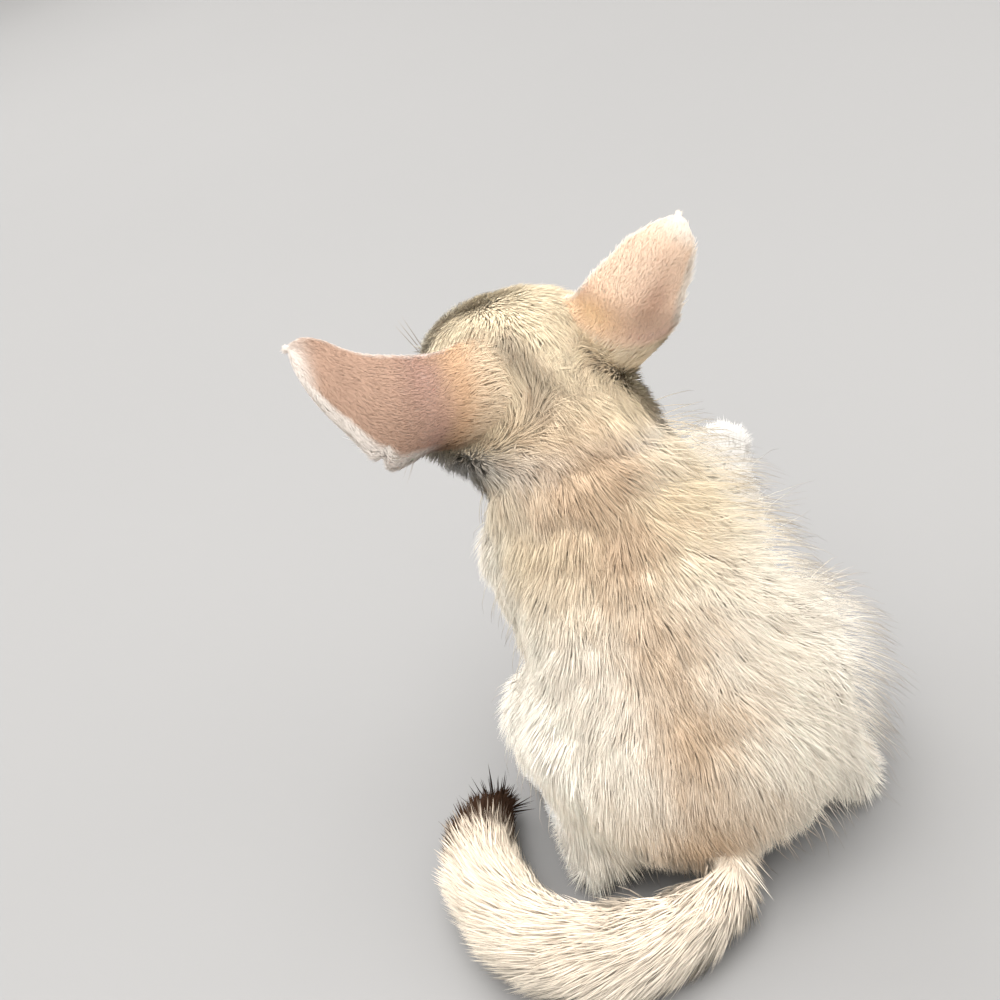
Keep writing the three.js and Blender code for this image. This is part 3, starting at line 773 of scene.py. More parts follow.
def strands(name, slot, paths, out, half, root_colour, tip_colour, uv,
            flat=0.3, tip_from=0.35, soft=SOFT_SHADING):
    """Closed three-sided strands of fur, pointed at both ends, placed as pieces of limited size."""
    n, inner = len(paths), paths.shape[1] - 2
    along = unit(paths[:, 2:] - paths[:, :-2])
    across = unit(np.cross(along, out[:, None]))
    ridge = unit(np.cross(across, along))
    half = column(half) * np.array(TUFT_WIDTHS[inner])
    steps = TUFT_STEPS[inner]
    points, facing_out, blend, layout = [paths[:, 0]], [-along[:, 0]], [0.0], [(0.5, 0.0)]
    for ring in range(inner):
        for side, height in ((1, -0.4), (0, 0.6), (-1, -0.4)):
            offset = across[:, ring] * side + ridge[:, ring] * height * flat * 2
            points.append(paths[:, ring + 1] + offset * half[:, ring, None])
            facing_out.append(unit(offset))
            blend.append(steps[ring + 1])
            layout.append((0.5 + 0.4 * side, steps[ring + 1]))
    points.append(paths[:, -1])
    facing_out.append(along[:, -1])
    blend.append(1.0)
    layout.append((0.5, 1.0))
    per = len(points)
    points = np.stack(points, axis=1)
    points[:, :, 2] = np.maximum(points[:, :, 2], FLOOR_CLEAR * 0.5)
    normals = unit(np.stack(facing_out, axis=1) + out[:, None] * soft)
    share = smooth(tip_from, 1.0, np.array(blend))[None, :, None]
    colours = root_colour[:, None] * (1 - share) + tip_colour[:, None] * share
    uvs = np.clip(uv[:, None] + (np.array(layout) - 0.5)[None] * PATCH, 0, 1)

    faces = []
    for j in range(3):
        k = (j + 1) % 3
        faces.append((0, k + 1, j + 1))
        for a in range(1, 3 * inner - 2, 3):
            faces += [(a + j, a + k, a + k + 3), (a + j, a + k + 3, a + j + 3)]
        faces.append((per - 1, per - 4 + j, per - 4 + k))
    faces = np.array(faces)[:, ::-1]

    limit = PIECE_TRIANGLES // len(faces)
    count = math.ceil(n / limit)
    for part, rows in enumerate(np.array_split(np.arange(n), count)):
        all_faces = (np.arange(len(rows)) * per)[:, None, None] + faces[None]
        piece = new_mesh(
            name if count == 1 else f"{name}_{part + 1}",
            points[rows].reshape(-1, 3),
            all_faces.reshape(-1, 3),
            colours[rows].reshape(-1, 3),
            uvs[rows].reshape(-1, 2),
            normals[rows].reshape(-1, 3),
        )
        place_piece(piece, FUR, slot)


def gathered(paths, roots, count, pull):
    """Draws the tips of tufts together into soft locks, and gives each tuft's lock."""
    leaders = rng.choice(len(roots), count, replace=False)
    tree = KDTree(count)
    for i, place in enumerate(roots[leaders].tolist()):
        tree.insert(place, i)
    tree.balance()
    lock = np.array([tree.find(place)[1] for place in roots.tolist()])
    leader = leaders[lock]
    for level in range(1, paths.shape[1]):
        t = level / (paths.shape[1] - 1)
        target = paths[leader, level] + (roots - roots[leader]) * (1 - 0.65 * t)
        paths[:, level] += (target - paths[:, level]) * np.reshape(pull * t, (-1, 1))
    return above_floor(paths), lock


# Materials


def set_inputs(node, **values):
    """Sets a node's inputs, whose names are written with _ for a space."""
    for name, value in values.items():
        node.inputs[name.replace("_", " ")].default_value = value
    return node


def material(name, rough, grain, specular=0.3, sheen=0.0, base=None, under_skin=0.0, bump=None):
    """A material with its own noise: colour from the mesh's markings or a base, varied by a grain."""
    made = bpy.data.materials.new(name)
    made.use_nodes = True
    nodes, links = made.node_tree.nodes, made.node_tree.links
    shader = set_inputs(
        nodes["Principled BSDF"],
        Roughness=rough,
        Specular_IOR_Level=specular,
        Sheen_Weight=sheen,
        Subsurface_Weight=under_skin,
        Subsurface_Radius=(1.0, 0.6, 0.4),
        Subsurface_Scale=0.0015,
    )
    place = nodes.new("ShaderNodeTexCoord").outputs["Object"]
    shade = nodes.new("ShaderNodeVectorMath")
    shade.operation = "SCALE"
    if base is None:
        marking = nodes.new("ShaderNodeAttribute")
        marking.attribute_name = "marking"
        links.new(marking.outputs["Color"], shade.inputs[0])
    else:
        shade.inputs[0].default_value = base
    scale, amount = grain
    noise = set_inputs(nodes.new("ShaderNodeTexNoise"), Scale=scale, Detail=3)
    links.new(place, noise.inputs["Vector"])
    spread = set_inputs(nodes.new("ShaderNodeMapRange"), From_Min=0.3, From_Max=0.7, To_Max=1)
    set_inputs(spread, To_Min=1 - amount)
    links.new(noise.outputs["Fac"], spread.inputs["Value"])
    links.new(spread.outputs["Result"], shade.inputs["Scale"])
    links.new(shade.outputs["Vector"], shader.inputs["Base Color"])
    if bump:
        scale, strength, distance = bump
        cells = set_inputs(nodes.new("ShaderNodeTexVoronoi"), Scale=scale)
        links.new(place, cells.inputs["Vector"])
        relief = set_inputs(nodes.new("ShaderNodeBump"), Strength=strength, Distance=distance)
        links.new(cells.outputs["Distance"], relief.inputs["Height"])
        links.new(relief.outputs["Normal"], shader.inputs["Normal"])
    return made


FUR = material("soft_fur", 0.9, (700, 0.06), specular=0.0)
SKIN = material("skin_under_fur", 0.9, (600, 0.2), specular=0.1, bump=(1400, 0.4, 0.0004))
EAR_SKIN = material("ear_skin", 0.75, (350, 0.1), specular=0.2, sheen=0.3, under_skin=0.35,
                    bump=(2200, 0.25, 0.0002))
EYE = material("wet_eye", 0.03, (1500, 0.3), specular=0.5)
LID = material("lid_rim", 0.4, (1200, 0.3), base=tone(44, 32, 28), bump=(3000, 0.3, 0.0002))
NOSE_LEATHER = material("nose_leather", 0.42, (900, 0.35), base=tone(40, 31, 31),
                        bump=(2600, 0.7, 0.0003))
LIP = material("lip", 0.6, (900, 0.3), base=tone(70, 48, 44), bump=(2500, 0.3, 0.0002))
CLAW = material("claw", 0.32, (700, 0.3), base=tone(92, 82, 74))
FLOOR = material("pale_floor", 0.9, (2, 0.02), specular=0.1)


def place_piece(obj, look, slot, *nodes):
    obj.data.materials.append(look)
    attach(obj, "root")
    if nodes:
        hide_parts(*nodes)


# Body coat

COAT_TUFTS = 171000
COAT_LOCKS = 6500
NOSE_CLEAR = 4.2


LID_HALF, LID_UP, LID_DOWN = 5.4, 4.2, 3.7
EYE_RADIUS = 6.3
EYE_CLEAR = 1.12  # how much wider than the eye's opening the gap in the coat is


def eye_frame(side):
    """Columns x, y and z of an eye: z out of it, x level on the turned head."""
    straight = facing(unit(vec(SIDES[side] * 0.48, -0.87, 0.1)))
    return HEAD_TURN @ straight


def over_eye(points):
    """Whether points lie over an eye, in or close to its almond opening."""
    inside = np.zeros(len(points), bool)
    for side in SIDES:
        local = (points - eye_centre(side)) @ eye_frame(side)
        height = np.where(local[:, 1] > 0, LID_UP, LID_DOWN) * EYE_CLEAR
        ellipse = (local[:, 0] / (LID_HALF * EYE_CLEAR)) ** 2 + (local[:, 1] / height) ** 2
        inside |= (ellipse < 1) & (local[:, 2] > 0)
    return inside


def make_coat():
    tail = share_of(region_share, "tail")
    weight = (region_share @ coat_table[:, CROWDING]) * (1 - np.clip(tail * 1.2, 0, 1))
    weight *= mix(1.7, 1.0, face_share(body.points))
    roots, normals = body.draw(COAT_TUFTS, weight)
    share = body.read(region_share)
    uv = body.read_uv()
    keep = ~over_eye(roots) & (np.linalg.norm(roots - NOSE, axis=1) > NOSE_CLEAR)
    keep &= near_path(roots, MOUTH, 1.2) < 0.4
    roots, normals, share, uv = roots[keep], normals[keep], share[keep], uv[keep]
    n = len(roots)
    small = face_share(roots)

    # How the tufts of each region lie and how long they are
    depth = (share @ coat_table[:, DEPTH]) * small
    length = (share @ coat_table[:, LENGTH]) * mix(0.24, 1, small)
    half = (share @ coat_table[:, HALF]) * mix(0.6, 1, small)
    flow = lie(roots, normals, share)
    wander = waves(roots, 15, 3) * 0.18 + waves(roots, 5.5, 4) * 0.14
    flow = swirl(flow, normals, (wander + rng.normal(size=n) * 0.12) * mix(0.35, 1, small))
    lift = 0.88 + 0.12 * waves(roots, 6.5, 5) + 0.08 * rng.normal(size=n)
    crease = near_path(roots, CROWN_CREASE, 2.6)
    lift *= mix(0.75, 1, smooth(10, 45, roots[:, 2]))
    rise = depth * np.clip(lift * (1 - 0.5 * crease), 0.35, 1.4)
    length = length * (1 + 0.16 * rng.normal(size=n)).clip(0.55, 1.5)

    # On the forehead the coat parts to both sides, and on the lifted paw it stands out more
    h = unposed(roots)
    brow = brow_share(h)
    flow = unit(flow + column(1.6 * brow * np.sign(h[:, 0])) * (HEAD_TURN @ vec(1, 0.1, 0)))
    flow = flattened(flow, normals)
    paw = share_of(share, "forearm", "forepaw") * smooth(60, 74, roots[:, 2])
    rise = rise * (1 + 0.7 * paw)
    length = length * (1 + 0.25 * brow + 0.4 * paw) * (1 - 0.65 * near_path(roots, MOUTH, 2.6))
    half = half * 1.12 * (1 + 0.15 * rng.normal(size=n)).clip(0.6, 1.5)

    # It leaves the crease on the crown to both sides, and runs up on to the ears
    parting = (roots - CROWN_CREASE[2]) * vec(1, 0.2, 0.2)
    flow = unit(flow + column(crease * 0.8) * unit(parting))
    for blade in EAR_BLADES.values():
        base = near(roots, blade["root"] + blade["axis"] * 5, 17)
        along = blade["axis"] - normals * column(normals @ blade["axis"])
        flow = unit(flow + along * column(base * 2.4))
        length = length * (1 + 0.4 * base)
    paths = tuft_paths(roots, normals, flow, length, rise, droop=0.04)
    paths, lock = gathered(paths, roots, COAT_LOCKS, 0.16 * small)

    # Markings are read halfway down the tufts, so that they show where the photo has them
    colour, ticks = markings(roots + flow * column(length * 0.5), share)
    lock_tone = rng.normal(size=COAT_LOCKS)[lock]
    bright = 1 + 0.035 * rng.normal(size=n) + 0.03 * lock_tone + 0.03 * waves(roots, 9, 8)
    colour = colour * column(bright.clip(0.8, 1.15))
    dark = (rng.random(n) < ticks) * rng.uniform(0.2, 0.7, n)
    tip_colour = mix(colour * 1.02, TICKED, column(dark))
    tip_colour = tip_colour.clip(0, BRIGHTEST)
    strands("coat", "coat", paths, normals, half, colour * 0.96, tip_colour, uv)


make_coat()

skin_colour, _ = markings(body.points, region_share)
on_tail = column(share_of(region_share, "tail"))
paint(skin.data, mix(skin_colour * 0.9, tail_colour(body.points) * 0.85, on_tail))
place_piece(skin, SKIN, "coat", *FLESH, "tail_root", "tail_middle", "tail_tip")


# Long guard hairs, brown towards their tips, stand out of the coat. They are longest on the right
# flank and on the right of the neck.

GUARD_HAIRS = 1700
PER_GUARD_LOCK = 7
FLANK_WAY = unit(vec(-1, 0.35, 0.1))


def make_guard_hairs():
    weight = share_of(region_share, "neck", "torso", "thigh", "upper_arm")
    on_flank = smooth(0.2, 0.75, body.normals @ FLANK_WAY) * smooth(20, 34, body.points[:, 2])
    weight = weight * (0.12 + on_flank) * smooth(8, 30, body.points[:, 2])
    roots, normals = body.draw(GUARD_HAIRS, weight)
    share = body.read(region_share)
    long = body.read(column(on_flank))[:, 0]
    n = len(roots)
    flow = lie(roots, normals, share)
    flow = unit(flow + column(0.9 * long) * vec(-0.3, 0.3, 0.25))
    flow = swirl(flow, normals, rng.normal(size=n) * 0.4)
    length = rng.uniform(13, 18, n) + long * rng.uniform(0, 9, n)
    rise = rng.uniform(7.5, 10.5, n) + long * rng.uniform(0, 7, n)
    paths = tuft_paths(roots, normals, flow, length, rise, inner=3, droop=0.06)
    paths, _ = gathered(paths, roots, GUARD_HAIRS // PER_GUARD_LOCK, 0.5)
    colour, _ = markings(roots, share)
    tips = mix(colour, UMBER, column(rng.uniform(0.6, 0.95, n)))
    half = rng.uniform(0.06, 0.1, n)
    uv = body.read_uv()
    strands("guard_hairs", "coat", paths, normals, half, colour, tips, uv, flat=0.9, tip_from=0.25)


make_guard_hairs()


# Tail

TAIL_TUFTS = 16500
PER_TAIL_LOCK = 25


def make_tail():
    weight = np.clip(share_of(region_share, "tail") * 1.2, 0, 1)
    roots, normals = body.draw(TAIL_TUFTS, weight)
    n = len(roots)
    colour = tail_colour(roots)
    mark = tail_mark(roots)
    t = mark / (len(tail_marks) - 1)
    flow = flattened(tail_ways[mark], normals)
    flow = swirl(flow, normals, waves(roots, 9, 21) * 0.18 + rng.normal(size=n) * 0.1)
    room = tail_radius(np.minimum(t + 0.08, 1)) * (1 - TAIL_CORE)
    from_root = smooth(0, 0.3, t)
    rise = room * (1.05 + 0.16 * rng.normal(size=n)).clip(0.6, 1.4) * mix(0.3, 1, from_root)
    length = COAT["tail"][LENGTH] * (1 + 0.16 * rng.normal(size=n)).clip(0.6, 1.4)
    length *= mix(0.6, 1, from_root)
    length *= mix(1, 0.72, smooth(0.82, 1, t))
    paths = tuft_paths(roots, normals, flow, length, rise, inner=2, bend=1.5)
    paths, _ = gathered(paths, roots, TAIL_TUFTS // PER_TAIL_LOCK, 0.35)
    umber = smooth(0.72, 0.84, t + 0.03 * rng.normal(size=n))
    bright = (1 + 0.07 * rng.normal(size=n)).clip(0.7, 1.2)
    root_colour = mix(colour * column(bright), UMBER * 1.25, column(umber))
    ticks = (rng.random(n) < 0.16) * rng.uniform(0.2, 0.6, n)
    tips = mix(root_colour * 1.04, UMBER, column(np.maximum(ticks, umber)))
    half = COAT["tail"][HALF] * (1 + 0.2 * rng.normal(size=n)).clip(0.6, 1.5)
    strands("tail_coat", "coat", paths, normals, half, root_colour * 0.9, tips, body.read_uv())


make_tail()


# Ears: cupped blades with thin walls, soft down, white rims and a small pocket in the outer rim

EAR_START = -0.24
EAR_WALL = 1.4
TIP_START, TIP_REACH = 0.78, 0.22  # where the blade begins to round off, and over what share
POCKET_REACH = 0.055


def ear_layers(side, t, u):
    """Points of the back and the cup of an ear at shares t of its length and u of its width."""
    blade = EAR_BLADES[side]
    axis = blade["axis"]
    wide = unit(blade["outward"] - axis * (blade["outward"] @ axis))
    rear = np.cross(axis, wide) * SIDES[side]
    t, u = t[..., None], u[..., None]
    past = np.maximum(t - TIP_START, 0) / TIP_REACH
    rounding = np.sqrt(np.maximum(1 - past**2.6, 0.02))
    half = EAR_HALF_WIDTH * profile(blade["half_widths"], t) * rounding
    cup = mix(2.1, 0.75, smooth(-0.1, 0.55, t))
    radius = half / np.sin(np.minimum(cup, math.pi / 2))
    spine = blade["root"] + axis * blade["length"] * t + rear * (3 * t * t - radius * 0.55)
    spine = spine + wide * EAR_HALF_WIDTH * profile(blade["shifts"], t)
    slit = np.exp(-(((t - blade["notch"]) / (0.4 * POCKET_REACH)) ** 2))
    lobe = np.exp(-(((t - blade["notch"] + 1.5 * POCKET_REACH) / POCKET_REACH) ** 2))
    spread = u * cup * (1 + (0.05 * lobe - 0.1 * slit) * smooth(0.45, 1, u))
    ray = wide * np.sin(spread) + rear * np.cos(spread)
    up = np.maximum(t, 0)
    edge = np.sqrt(np.maximum(1 - np.abs(u) ** 7, 0)) * np.sqrt(np.maximum(1 - up**14, 0))
    wall = EAR_WALL * mix(1.3, 0.9, up) * edge
    fold = 0.3 * np.sin(9 * t + 3 * u) * smooth(0.1, 0.5, t) + 0.5 * slit * smooth(0.3, 0.9, u)
    outer = spine + ray * (radius - 0.5 - fold)
    return outer, outer - ray * wall, ray


EAR_RINGS, EAR_ACROSS = 110, 44
# Each ear's tones: the left ear's are darker and greyer copies of the right ear's, painted shade over
# the whole left ear.
EAR_BACK = {"left": tone(181, 150, 130), "right": tone(252, 222, 196)}
EAR_BLUSH = {"left": tone(186, 150, 136), "right": tone(242, 210, 194)}
EAR_BUFF = {"left": tone(218, 180, 144), "right": tone(255, 216, 168)}
EAR_RIM = {"left": tone(226, 217, 208), "right": tone(248, 236, 222)}
# Painted shade on the right ear's back, laid on as a brown patch.
EAR_SHADE_BROWN = tone(200, 161, 138)
EAR_CREAM = tone(236, 218, 190)
EAR_INSIDE = tone(214, 172, 158)
RIM_START = {"left": 0.66, "right": 0.78}


def ear_colour(side, t, u, inside=0.0):
    """Tan backs with a blush, a buff base, white rims and tips, a brown patch of painted shade on the
    right one where its back curves, and darker tones as painted shade all over the left one.
    """
    place = np.stack([t * 60, u * EAR_HALF_WIDTH, t * 0], axis=-1).reshape(-1, 3)
    noise = waves(place, 20, 77)
    t, u = t.ravel(), u.ravel()
    colour = np.tile(EAR_BACK[side], (len(t), 1))
    blush = smooth(0.15, 0.3, t) * smooth(0.62, 0.36, t) * (0.55 + 0.3 * noise)
    colour = mix(colour, EAR_BLUSH[side], column(np.clip(blush, 0, 1)))
    if side == "right":
        # Painted shade: a brown patch where the right ear's back curves towards its outer rim.
        shade_patch = np.exp(-(((t - 0.54) / 0.18) ** 2) - ((u - 0.32) / 0.3) ** 2)
        colour = mix(colour, EAR_SHADE_BROWN, column(shade_patch * 0.8))
        buff = np.exp(-(((t - 0.34) / 0.16) ** 2) - ((u + 0.55) / 0.55) ** 2)
        cream = smooth(0.24, 0.1, t - 0.12 * u + 0.03 * noise)
    else:
        buff = smooth(0.36, 0.08, t + 0.06 * u + 0.04 * noise)
        buff = np.maximum(buff, 0.6 * smooth(0.5, 0.2, t) * smooth(-0.5, -0.9, u))
        cream = 0.8 * smooth(0.14, -0.06, t + 0.04 * noise)
    colour = mix(colour, EAR_BUFF[side], column(buff * 0.85))
    colour = mix(colour, EAR_CREAM, column(cream))
    start = RIM_START[side] + 0.03 * noise
    outer_rim = smooth(0, 0.16, u - start) * smooth(0.15, 0.35, t)
    inner_rim = smooth(-0.9, -0.98, u) * (0.9 if side == "right" else 0.35)
    tip = smooth(0.84, 0.97, t + 0.05 * u + 0.02 * noise)
    rim = np.maximum(np.maximum(outer_rim, inner_rim), tip * 0.85)
    colour = mix(colour, EAR_RIM[side], column(np.clip(rim, 0, 1) * 0.92))
    return mix(colour, EAR_INSIDE, column(np.full(len(t), inside)))


def make_ear(side):
    t = np.linspace(EAR_START, 1, EAR_RINGS + 1)
    u = np.linspace(-1, 1, EAR_ACROSS + 1)
    t, u = np.meshgrid(t, u, indexing="ij")
    outer, inner, _ = ear_layers(side, t, u)
    row = EAR_ACROSS + 1
    a = (np.arange(EAR_RINGS)[:, None] * row + np.arange(EAR_ACROSS)).ravel()
    quads = np.stack([a, a + row, a + row + 1, a + 1], axis=1)
    count = (EAR_RINGS + 1) * row
    faces = np.vstack([quads, quads[:, ::-1] + count])
    if side == "right":
        faces = faces[:, ::-1]
    colours = np.vstack([ear_colour(side, t, u), ear_colour(side, t, u, 0.75)])
    uvs = np.vstack([ear_uv(t, u).reshape(-1, 2), ear_uv(t, u, inside=True).reshape(-1, 2)])
    points = np.vstack([outer.reshape(-1, 3), inner.reshape(-1, 3)])
    ear = new_mesh("ear_skin_" + side, points, faces, colours, uvs)
    bm = bmesh.new()
    bm.from_mesh(ear.data)
    bmesh.ops.remove_doubles(bm, verts=bm.verts, dist=1e-6)
    bm.to_mesh(ear.data)
    bm.free()
    place_piece(ear, EAR_SKIN, "ear", "ear_" + side)


def ear_uv(t, u, inside=False):
    flat = np.stack([(t - EAR_START) / (1 - EAR_START), (u + 1) / 2], axis=-1)
    return flat * vec(0.96, 0.46) + vec(0.02, 0.52 if inside else 0.02)


def ear_roots(side, t, u, inside=False):
    """Roots, outward directions and the way to the tip, on the back or in the cup of an ear."""
    step = 0.01
    layer = 1 if inside else 0
    here = ear_layers(side, t, u)
    ahead = ear_layers(side, np.minimum(t + step, 0.999), u)[layer]
    ray = here[2] * (-1 if inside else 1)
    return here[layer], ray, unit(ahead - here[layer])


EAR_SHADING = 0.6  # ears are thin, and their hair is seen from both sides
EAR_DOWN = 15000
EAR_FRINGE = 2600
EAR_CUP_HAIRS = 900


def ear_strands(name, paths, out, half, colour, uv):
    tips = colour.clip(0, BRIGHTEST)
    strands(name, "ear", paths, out, half, colour * 0.98, tips, uv, soft=EAR_SHADING)


def ear_down(side):
    """Short down on the back, lying towards the tip, and longer where the ear grows from the head."""
    t = EAR_START * 0.3 + (1 - EAR_START * 0.3) * rng.random(EAR_DOWN) ** 0.9
    t = np.minimum(t, 0.995)
    u = rng.uniform(-0.99, 0.99, EAR_DOWN)
    roots, ray, flow = ear_roots(side, t, u)
    wander = waves(roots, 7, 31) * 0.12 + rng.normal(size=EAR_DOWN) * 0.12
    flow = swirl(flow, ray, wander - 0.25 * u)
    base = smooth(0.36, 0.0, t)
    rim = smooth(RIM_START[side], 1, u) * smooth(0.15, 0.35, t) * smooth(0.95, 0.7, t)
    length = rng.uniform(2.0, 3.2, EAR_DOWN) * (1 + 1.5 * base + 0.5 * rim)
    rise = rng.uniform(0.25, 0.45, EAR_DOWN) * (1 + 3.2 * base + 1.4 * rim)
    paths = tuft_paths(roots, ray, flow, length, rise, sink=0.15)
    colour = ear_colour(side, t, u) * column((1 + 0.03 * rng.normal(size=EAR_DOWN)).clip(0.9, 1.1))
    half = rng.uniform(0.1, 0.15, EAR_DOWN) * (1 + 0.35 * base)
    ear_strands("ear_down_" + side, paths, ray, half, colour, ear_uv(t, u))


def ear_fringe(side):
    """Denser white hair along both rims and over the tip."""
    n = EAR_FRINGE
    t = rng.uniform(0.08, 0.995, n)
    edge = np.where(rng.random(n) < 0.7, 1, -1)
    u = edge * (1 - 0.07 * rng.random(n) ** 2)
    roots, ray, flow = ear_roots(side, t, u)
    step = ear_layers(side, t, u * 0.97)[0]
    outward = unit(roots - step)
    outer_share, ray_share = rng.uniform(0.1, 0.4, (n, 1)), rng.uniform(-0.25, 0.1, (n, 1))
    lean = unit(flow + outward * outer_share + ray * ray_share)
    length = np.where(edge > 0, rng.uniform(1.8, 3.0, n), rng.uniform(1.0, 1.7, n))
    length *= mix(1, 0.3, smooth(0.55, 0.9, t))
    paths = tuft_paths(roots, ray, lean, length, length * 0.12, sink=0.2)
    colour = mix(ear_colour(side, t, u), EAR_RIM[side], 0.5)
    half = rng.uniform(0.09, 0.14, n)
    out = unit(ray * 0.6 + outward * 0.3)
    ear_strands("ear_fringe_" + side, paths, out, half, colour, ear_uv(t, u))


def ear_cup_hairs(side):
    """Long white hairs that rise from both sides of the cup."""
    n = EAR_CUP_HAIRS
    t = rng.uniform(0.02, 0.8, n)
    edge = rng.choice([-1, 1], n)
    u = edge * rng.uniform(0.55, 0.97, n)
    roots, ray, flow = ear_roots(side, t, u, inside=True)
    middle = ear_layers(side, t, u * 0.9)[1]
    inward = unit(middle - roots)
    lean = unit(flow + inward * rng.uniform(0.1, 0.8, (n, 1)))
    length = rng.uniform(7, 14, n) * mix(1, 0.6, smooth(0.4, 0.8, t))
    paths = tuft_paths(roots, ray, lean, length, length * 0.3, inner=2, sink=0.2)
    colour = np.tile(WHITE, (n, 1)) * column(rng.uniform(0.9, 1.0, n))
    half = rng.uniform(0.1, 0.17, n)
    uv = ear_uv(t, u, inside=True)
    strands("ear_cup_hairs_" + side, "ear", paths, ray, half, colour, colour, uv)


for side in SIDES:
    make_ear(side)
    ear_down(side)
    ear_fringe(side)
    ear_cup_hairs(side)


# Eyes and lids


def sphere(segments, rings):
    """Points and triangles of a ball of radius 1, in the same order on each run."""
    bm = bmesh.new()
    bmesh.ops.create_uvsphere(bm, u_segments=segments, v_segments=rings, radius=1)
    bmesh.ops.triangulate(bm, faces=bm.faces)
    points = np.array([v.co for v in bm.verts])
    faces = np.array([[v.index for v in f.verts] for f in bm.faces])
    bm.free()
    order = np.lexsort(points.T)
    faces = np.argsort(order)[faces]
    turns = (faces.argmin(axis=1)[:, None] + np.arange(3)) % 3
    faces = np.take_along_axis(faces, turns, axis=1)
    return points[order], faces[np.lexsort(faces.T)]


CORNEA = 0.06  # how far it bulges, as a share of the eye's radius
PUPIL_EDGE, IRIS_EDGE = (24, 30), (46, 50)  # degrees from the eye's axis
LID_RIM, LID_LIFT, FOLD_LIFT = 0.46, 0.5, 0.75
LID_RINGS = ((1.0, 0.05), (1.12, -0.35), (1.3, -0.2), (1.55, 0.6), (1.8, 2.0))  # size, sinking
PUPIL = tone(8, 6, 6)
IRIS = tone(58, 34, 20)
EYE_WHITE = tone(96, 72, 60)


def make_eye(side):
    points, faces = sphere(48, 32)
    out = points[:, 2]
    bulge = 1 + CORNEA * smooth(0.72, 0.95, out)
    from_axis = np.degrees(np.arccos(np.clip(out, -1, 1)))
    colour = mix(PUPIL, IRIS, column(smooth(*PUPIL_EDGE, from_axis)))
    colour = mix(colour, EYE_WHITE, column(smooth(*IRIS_EDGE, from_axis)))
    placed = (points * column(bulge) * EYE_RADIUS) @ eye_frame(side).T + eye_centre(side)
    eye = new_mesh("eyeball_" + side, placed, faces, colour)
    place_piece(eye, EYE, "eye", "eye_" + side)


def almond(angle, grow):
    """Points of the lid's edge in the eye's own frame, on a ball a little larger than the eye."""
    x = LID_HALF * grow * np.cos(angle)
    height = np.where(np.sin(angle) > 0, LID_UP, LID_DOWN)
    y = height * grow * np.sin(angle) * np.abs(np.sin(angle)) ** 0.15
    radius = EYE_RADIUS + LID_LIFT
    z = np.sqrt(np.maximum(radius**2 - x**2 - y**2, 0.5))
    return np.stack([x, y, z], axis=1)


def make_lids(side):
    """A dark rim round the eye, and a soft fold of skin outside it."""
    angle = np.linspace(0, 2 * math.pi, 49)
    overlap = np.linspace(-0.1, 2 * math.pi + 0.1, 53)
    frame_of_eye = eye_frame(side)
    rim = almond(overlap, 0.97) @ frame_of_eye.T + eye_centre(side)
    points, faces = tube(rim, LID_RIM)
    place_piece(new_mesh("lid_rim_" + side, points, faces), LID, "eye")
    rings = []
    for grow, sink in LID_RINGS:
        ring = almond(angle[:-1], 1.0)
        ring[:, :2] *= grow
        radius = EYE_RADIUS + FOLD_LIFT
        ring[:, 2] = np.sqrt(np.maximum(radius**2 - (ring[:, :2] ** 2).sum(axis=1), 1.5)) - sink
        rings.append(ring @ frame_of_eye.T + eye_centre(side))
    points = np.vstack(rings)
    colour = np.tile(mix(CREAM, SAND, 0.6), (len(points), 1))
    faces = ring_faces(len(rings), len(rings[0]))
    place_piece(new_mesh("lid_fold_" + side, points, faces, colour), SKIN, "coat")


for side in SIDES:
    make_eye(side)
    make_lids(side)


# Nose, mouth and whiskers


NOSE_RADII = vec(4.7, 3.6, 3.4)
NOSTRIL = vec(2.3, -3.0, -0.3)
NOSTRIL_DEPTH = 1.5
LIP_HALF = 0.5


def make_nose():
    points, faces = sphere(56, 40)
    shape = points * NOSE_RADII
    shape[:, 2] *= mix(1.0, 0.8, smooth(0.2, 1, points[:, 2]))
    shape[:, 0] *= mix(0.74, 1.0, smooth(-1, 0.2, points[:, 2]))
    for sign in SIDES.values():
        gap = (shape - NOSTRIL * vec(sign, 1, 1)) * vec(1, 0.8, 1.25)
        depth = NOSTRIL_DEPTH * np.exp(-((np.linalg.norm(gap, axis=1) / 1.05) ** 2))
        shape = shape + column(depth) * vec(-sign * 0.25, 1, 0.1)
    groove = 0.5 * np.exp(-((shape[:, 0] / 0.45) ** 2)) * smooth(-0.2, -0.8, points[:, 1])
    shape[:, 1] += groove * smooth(0.4, -0.4, points[:, 2])
    placed = posed(shape + NOSE_PLACE)
    place_piece(new_mesh("nose_leather", placed, faces), NOSE_LEATHER, "nose", "nose")


make_nose()


def make_mouth():
    ends = np.sin(np.linspace(0, math.pi, len(MOUTH))) ** 0.4
    points, faces = tube(MOUTH, LIP_HALF * ends + 0.05)
    place_piece(new_mesh("mouth_line", points, faces), LIP, "nose")
    ahead = HEAD_TURN @ vec(0, -1, 0)
    groove = [on_skin(posed(vec(0, -66, z)), ahead) for z in (118.4, 117, 115.8, 114.6)]
    points, faces = tube(curve_through(groove, 16), 0.4)
    place_piece(new_mesh("lip_groove", points, faces), LIP, "nose")


make_mouth()


WHISKER_ROWS = (4, 4, 4, 3)  # whiskers in each row, from the top down
WHISKER_STEPS = 5
BROW_WHISKERS = 3
BROW_WHISKER_LENGTH = 13


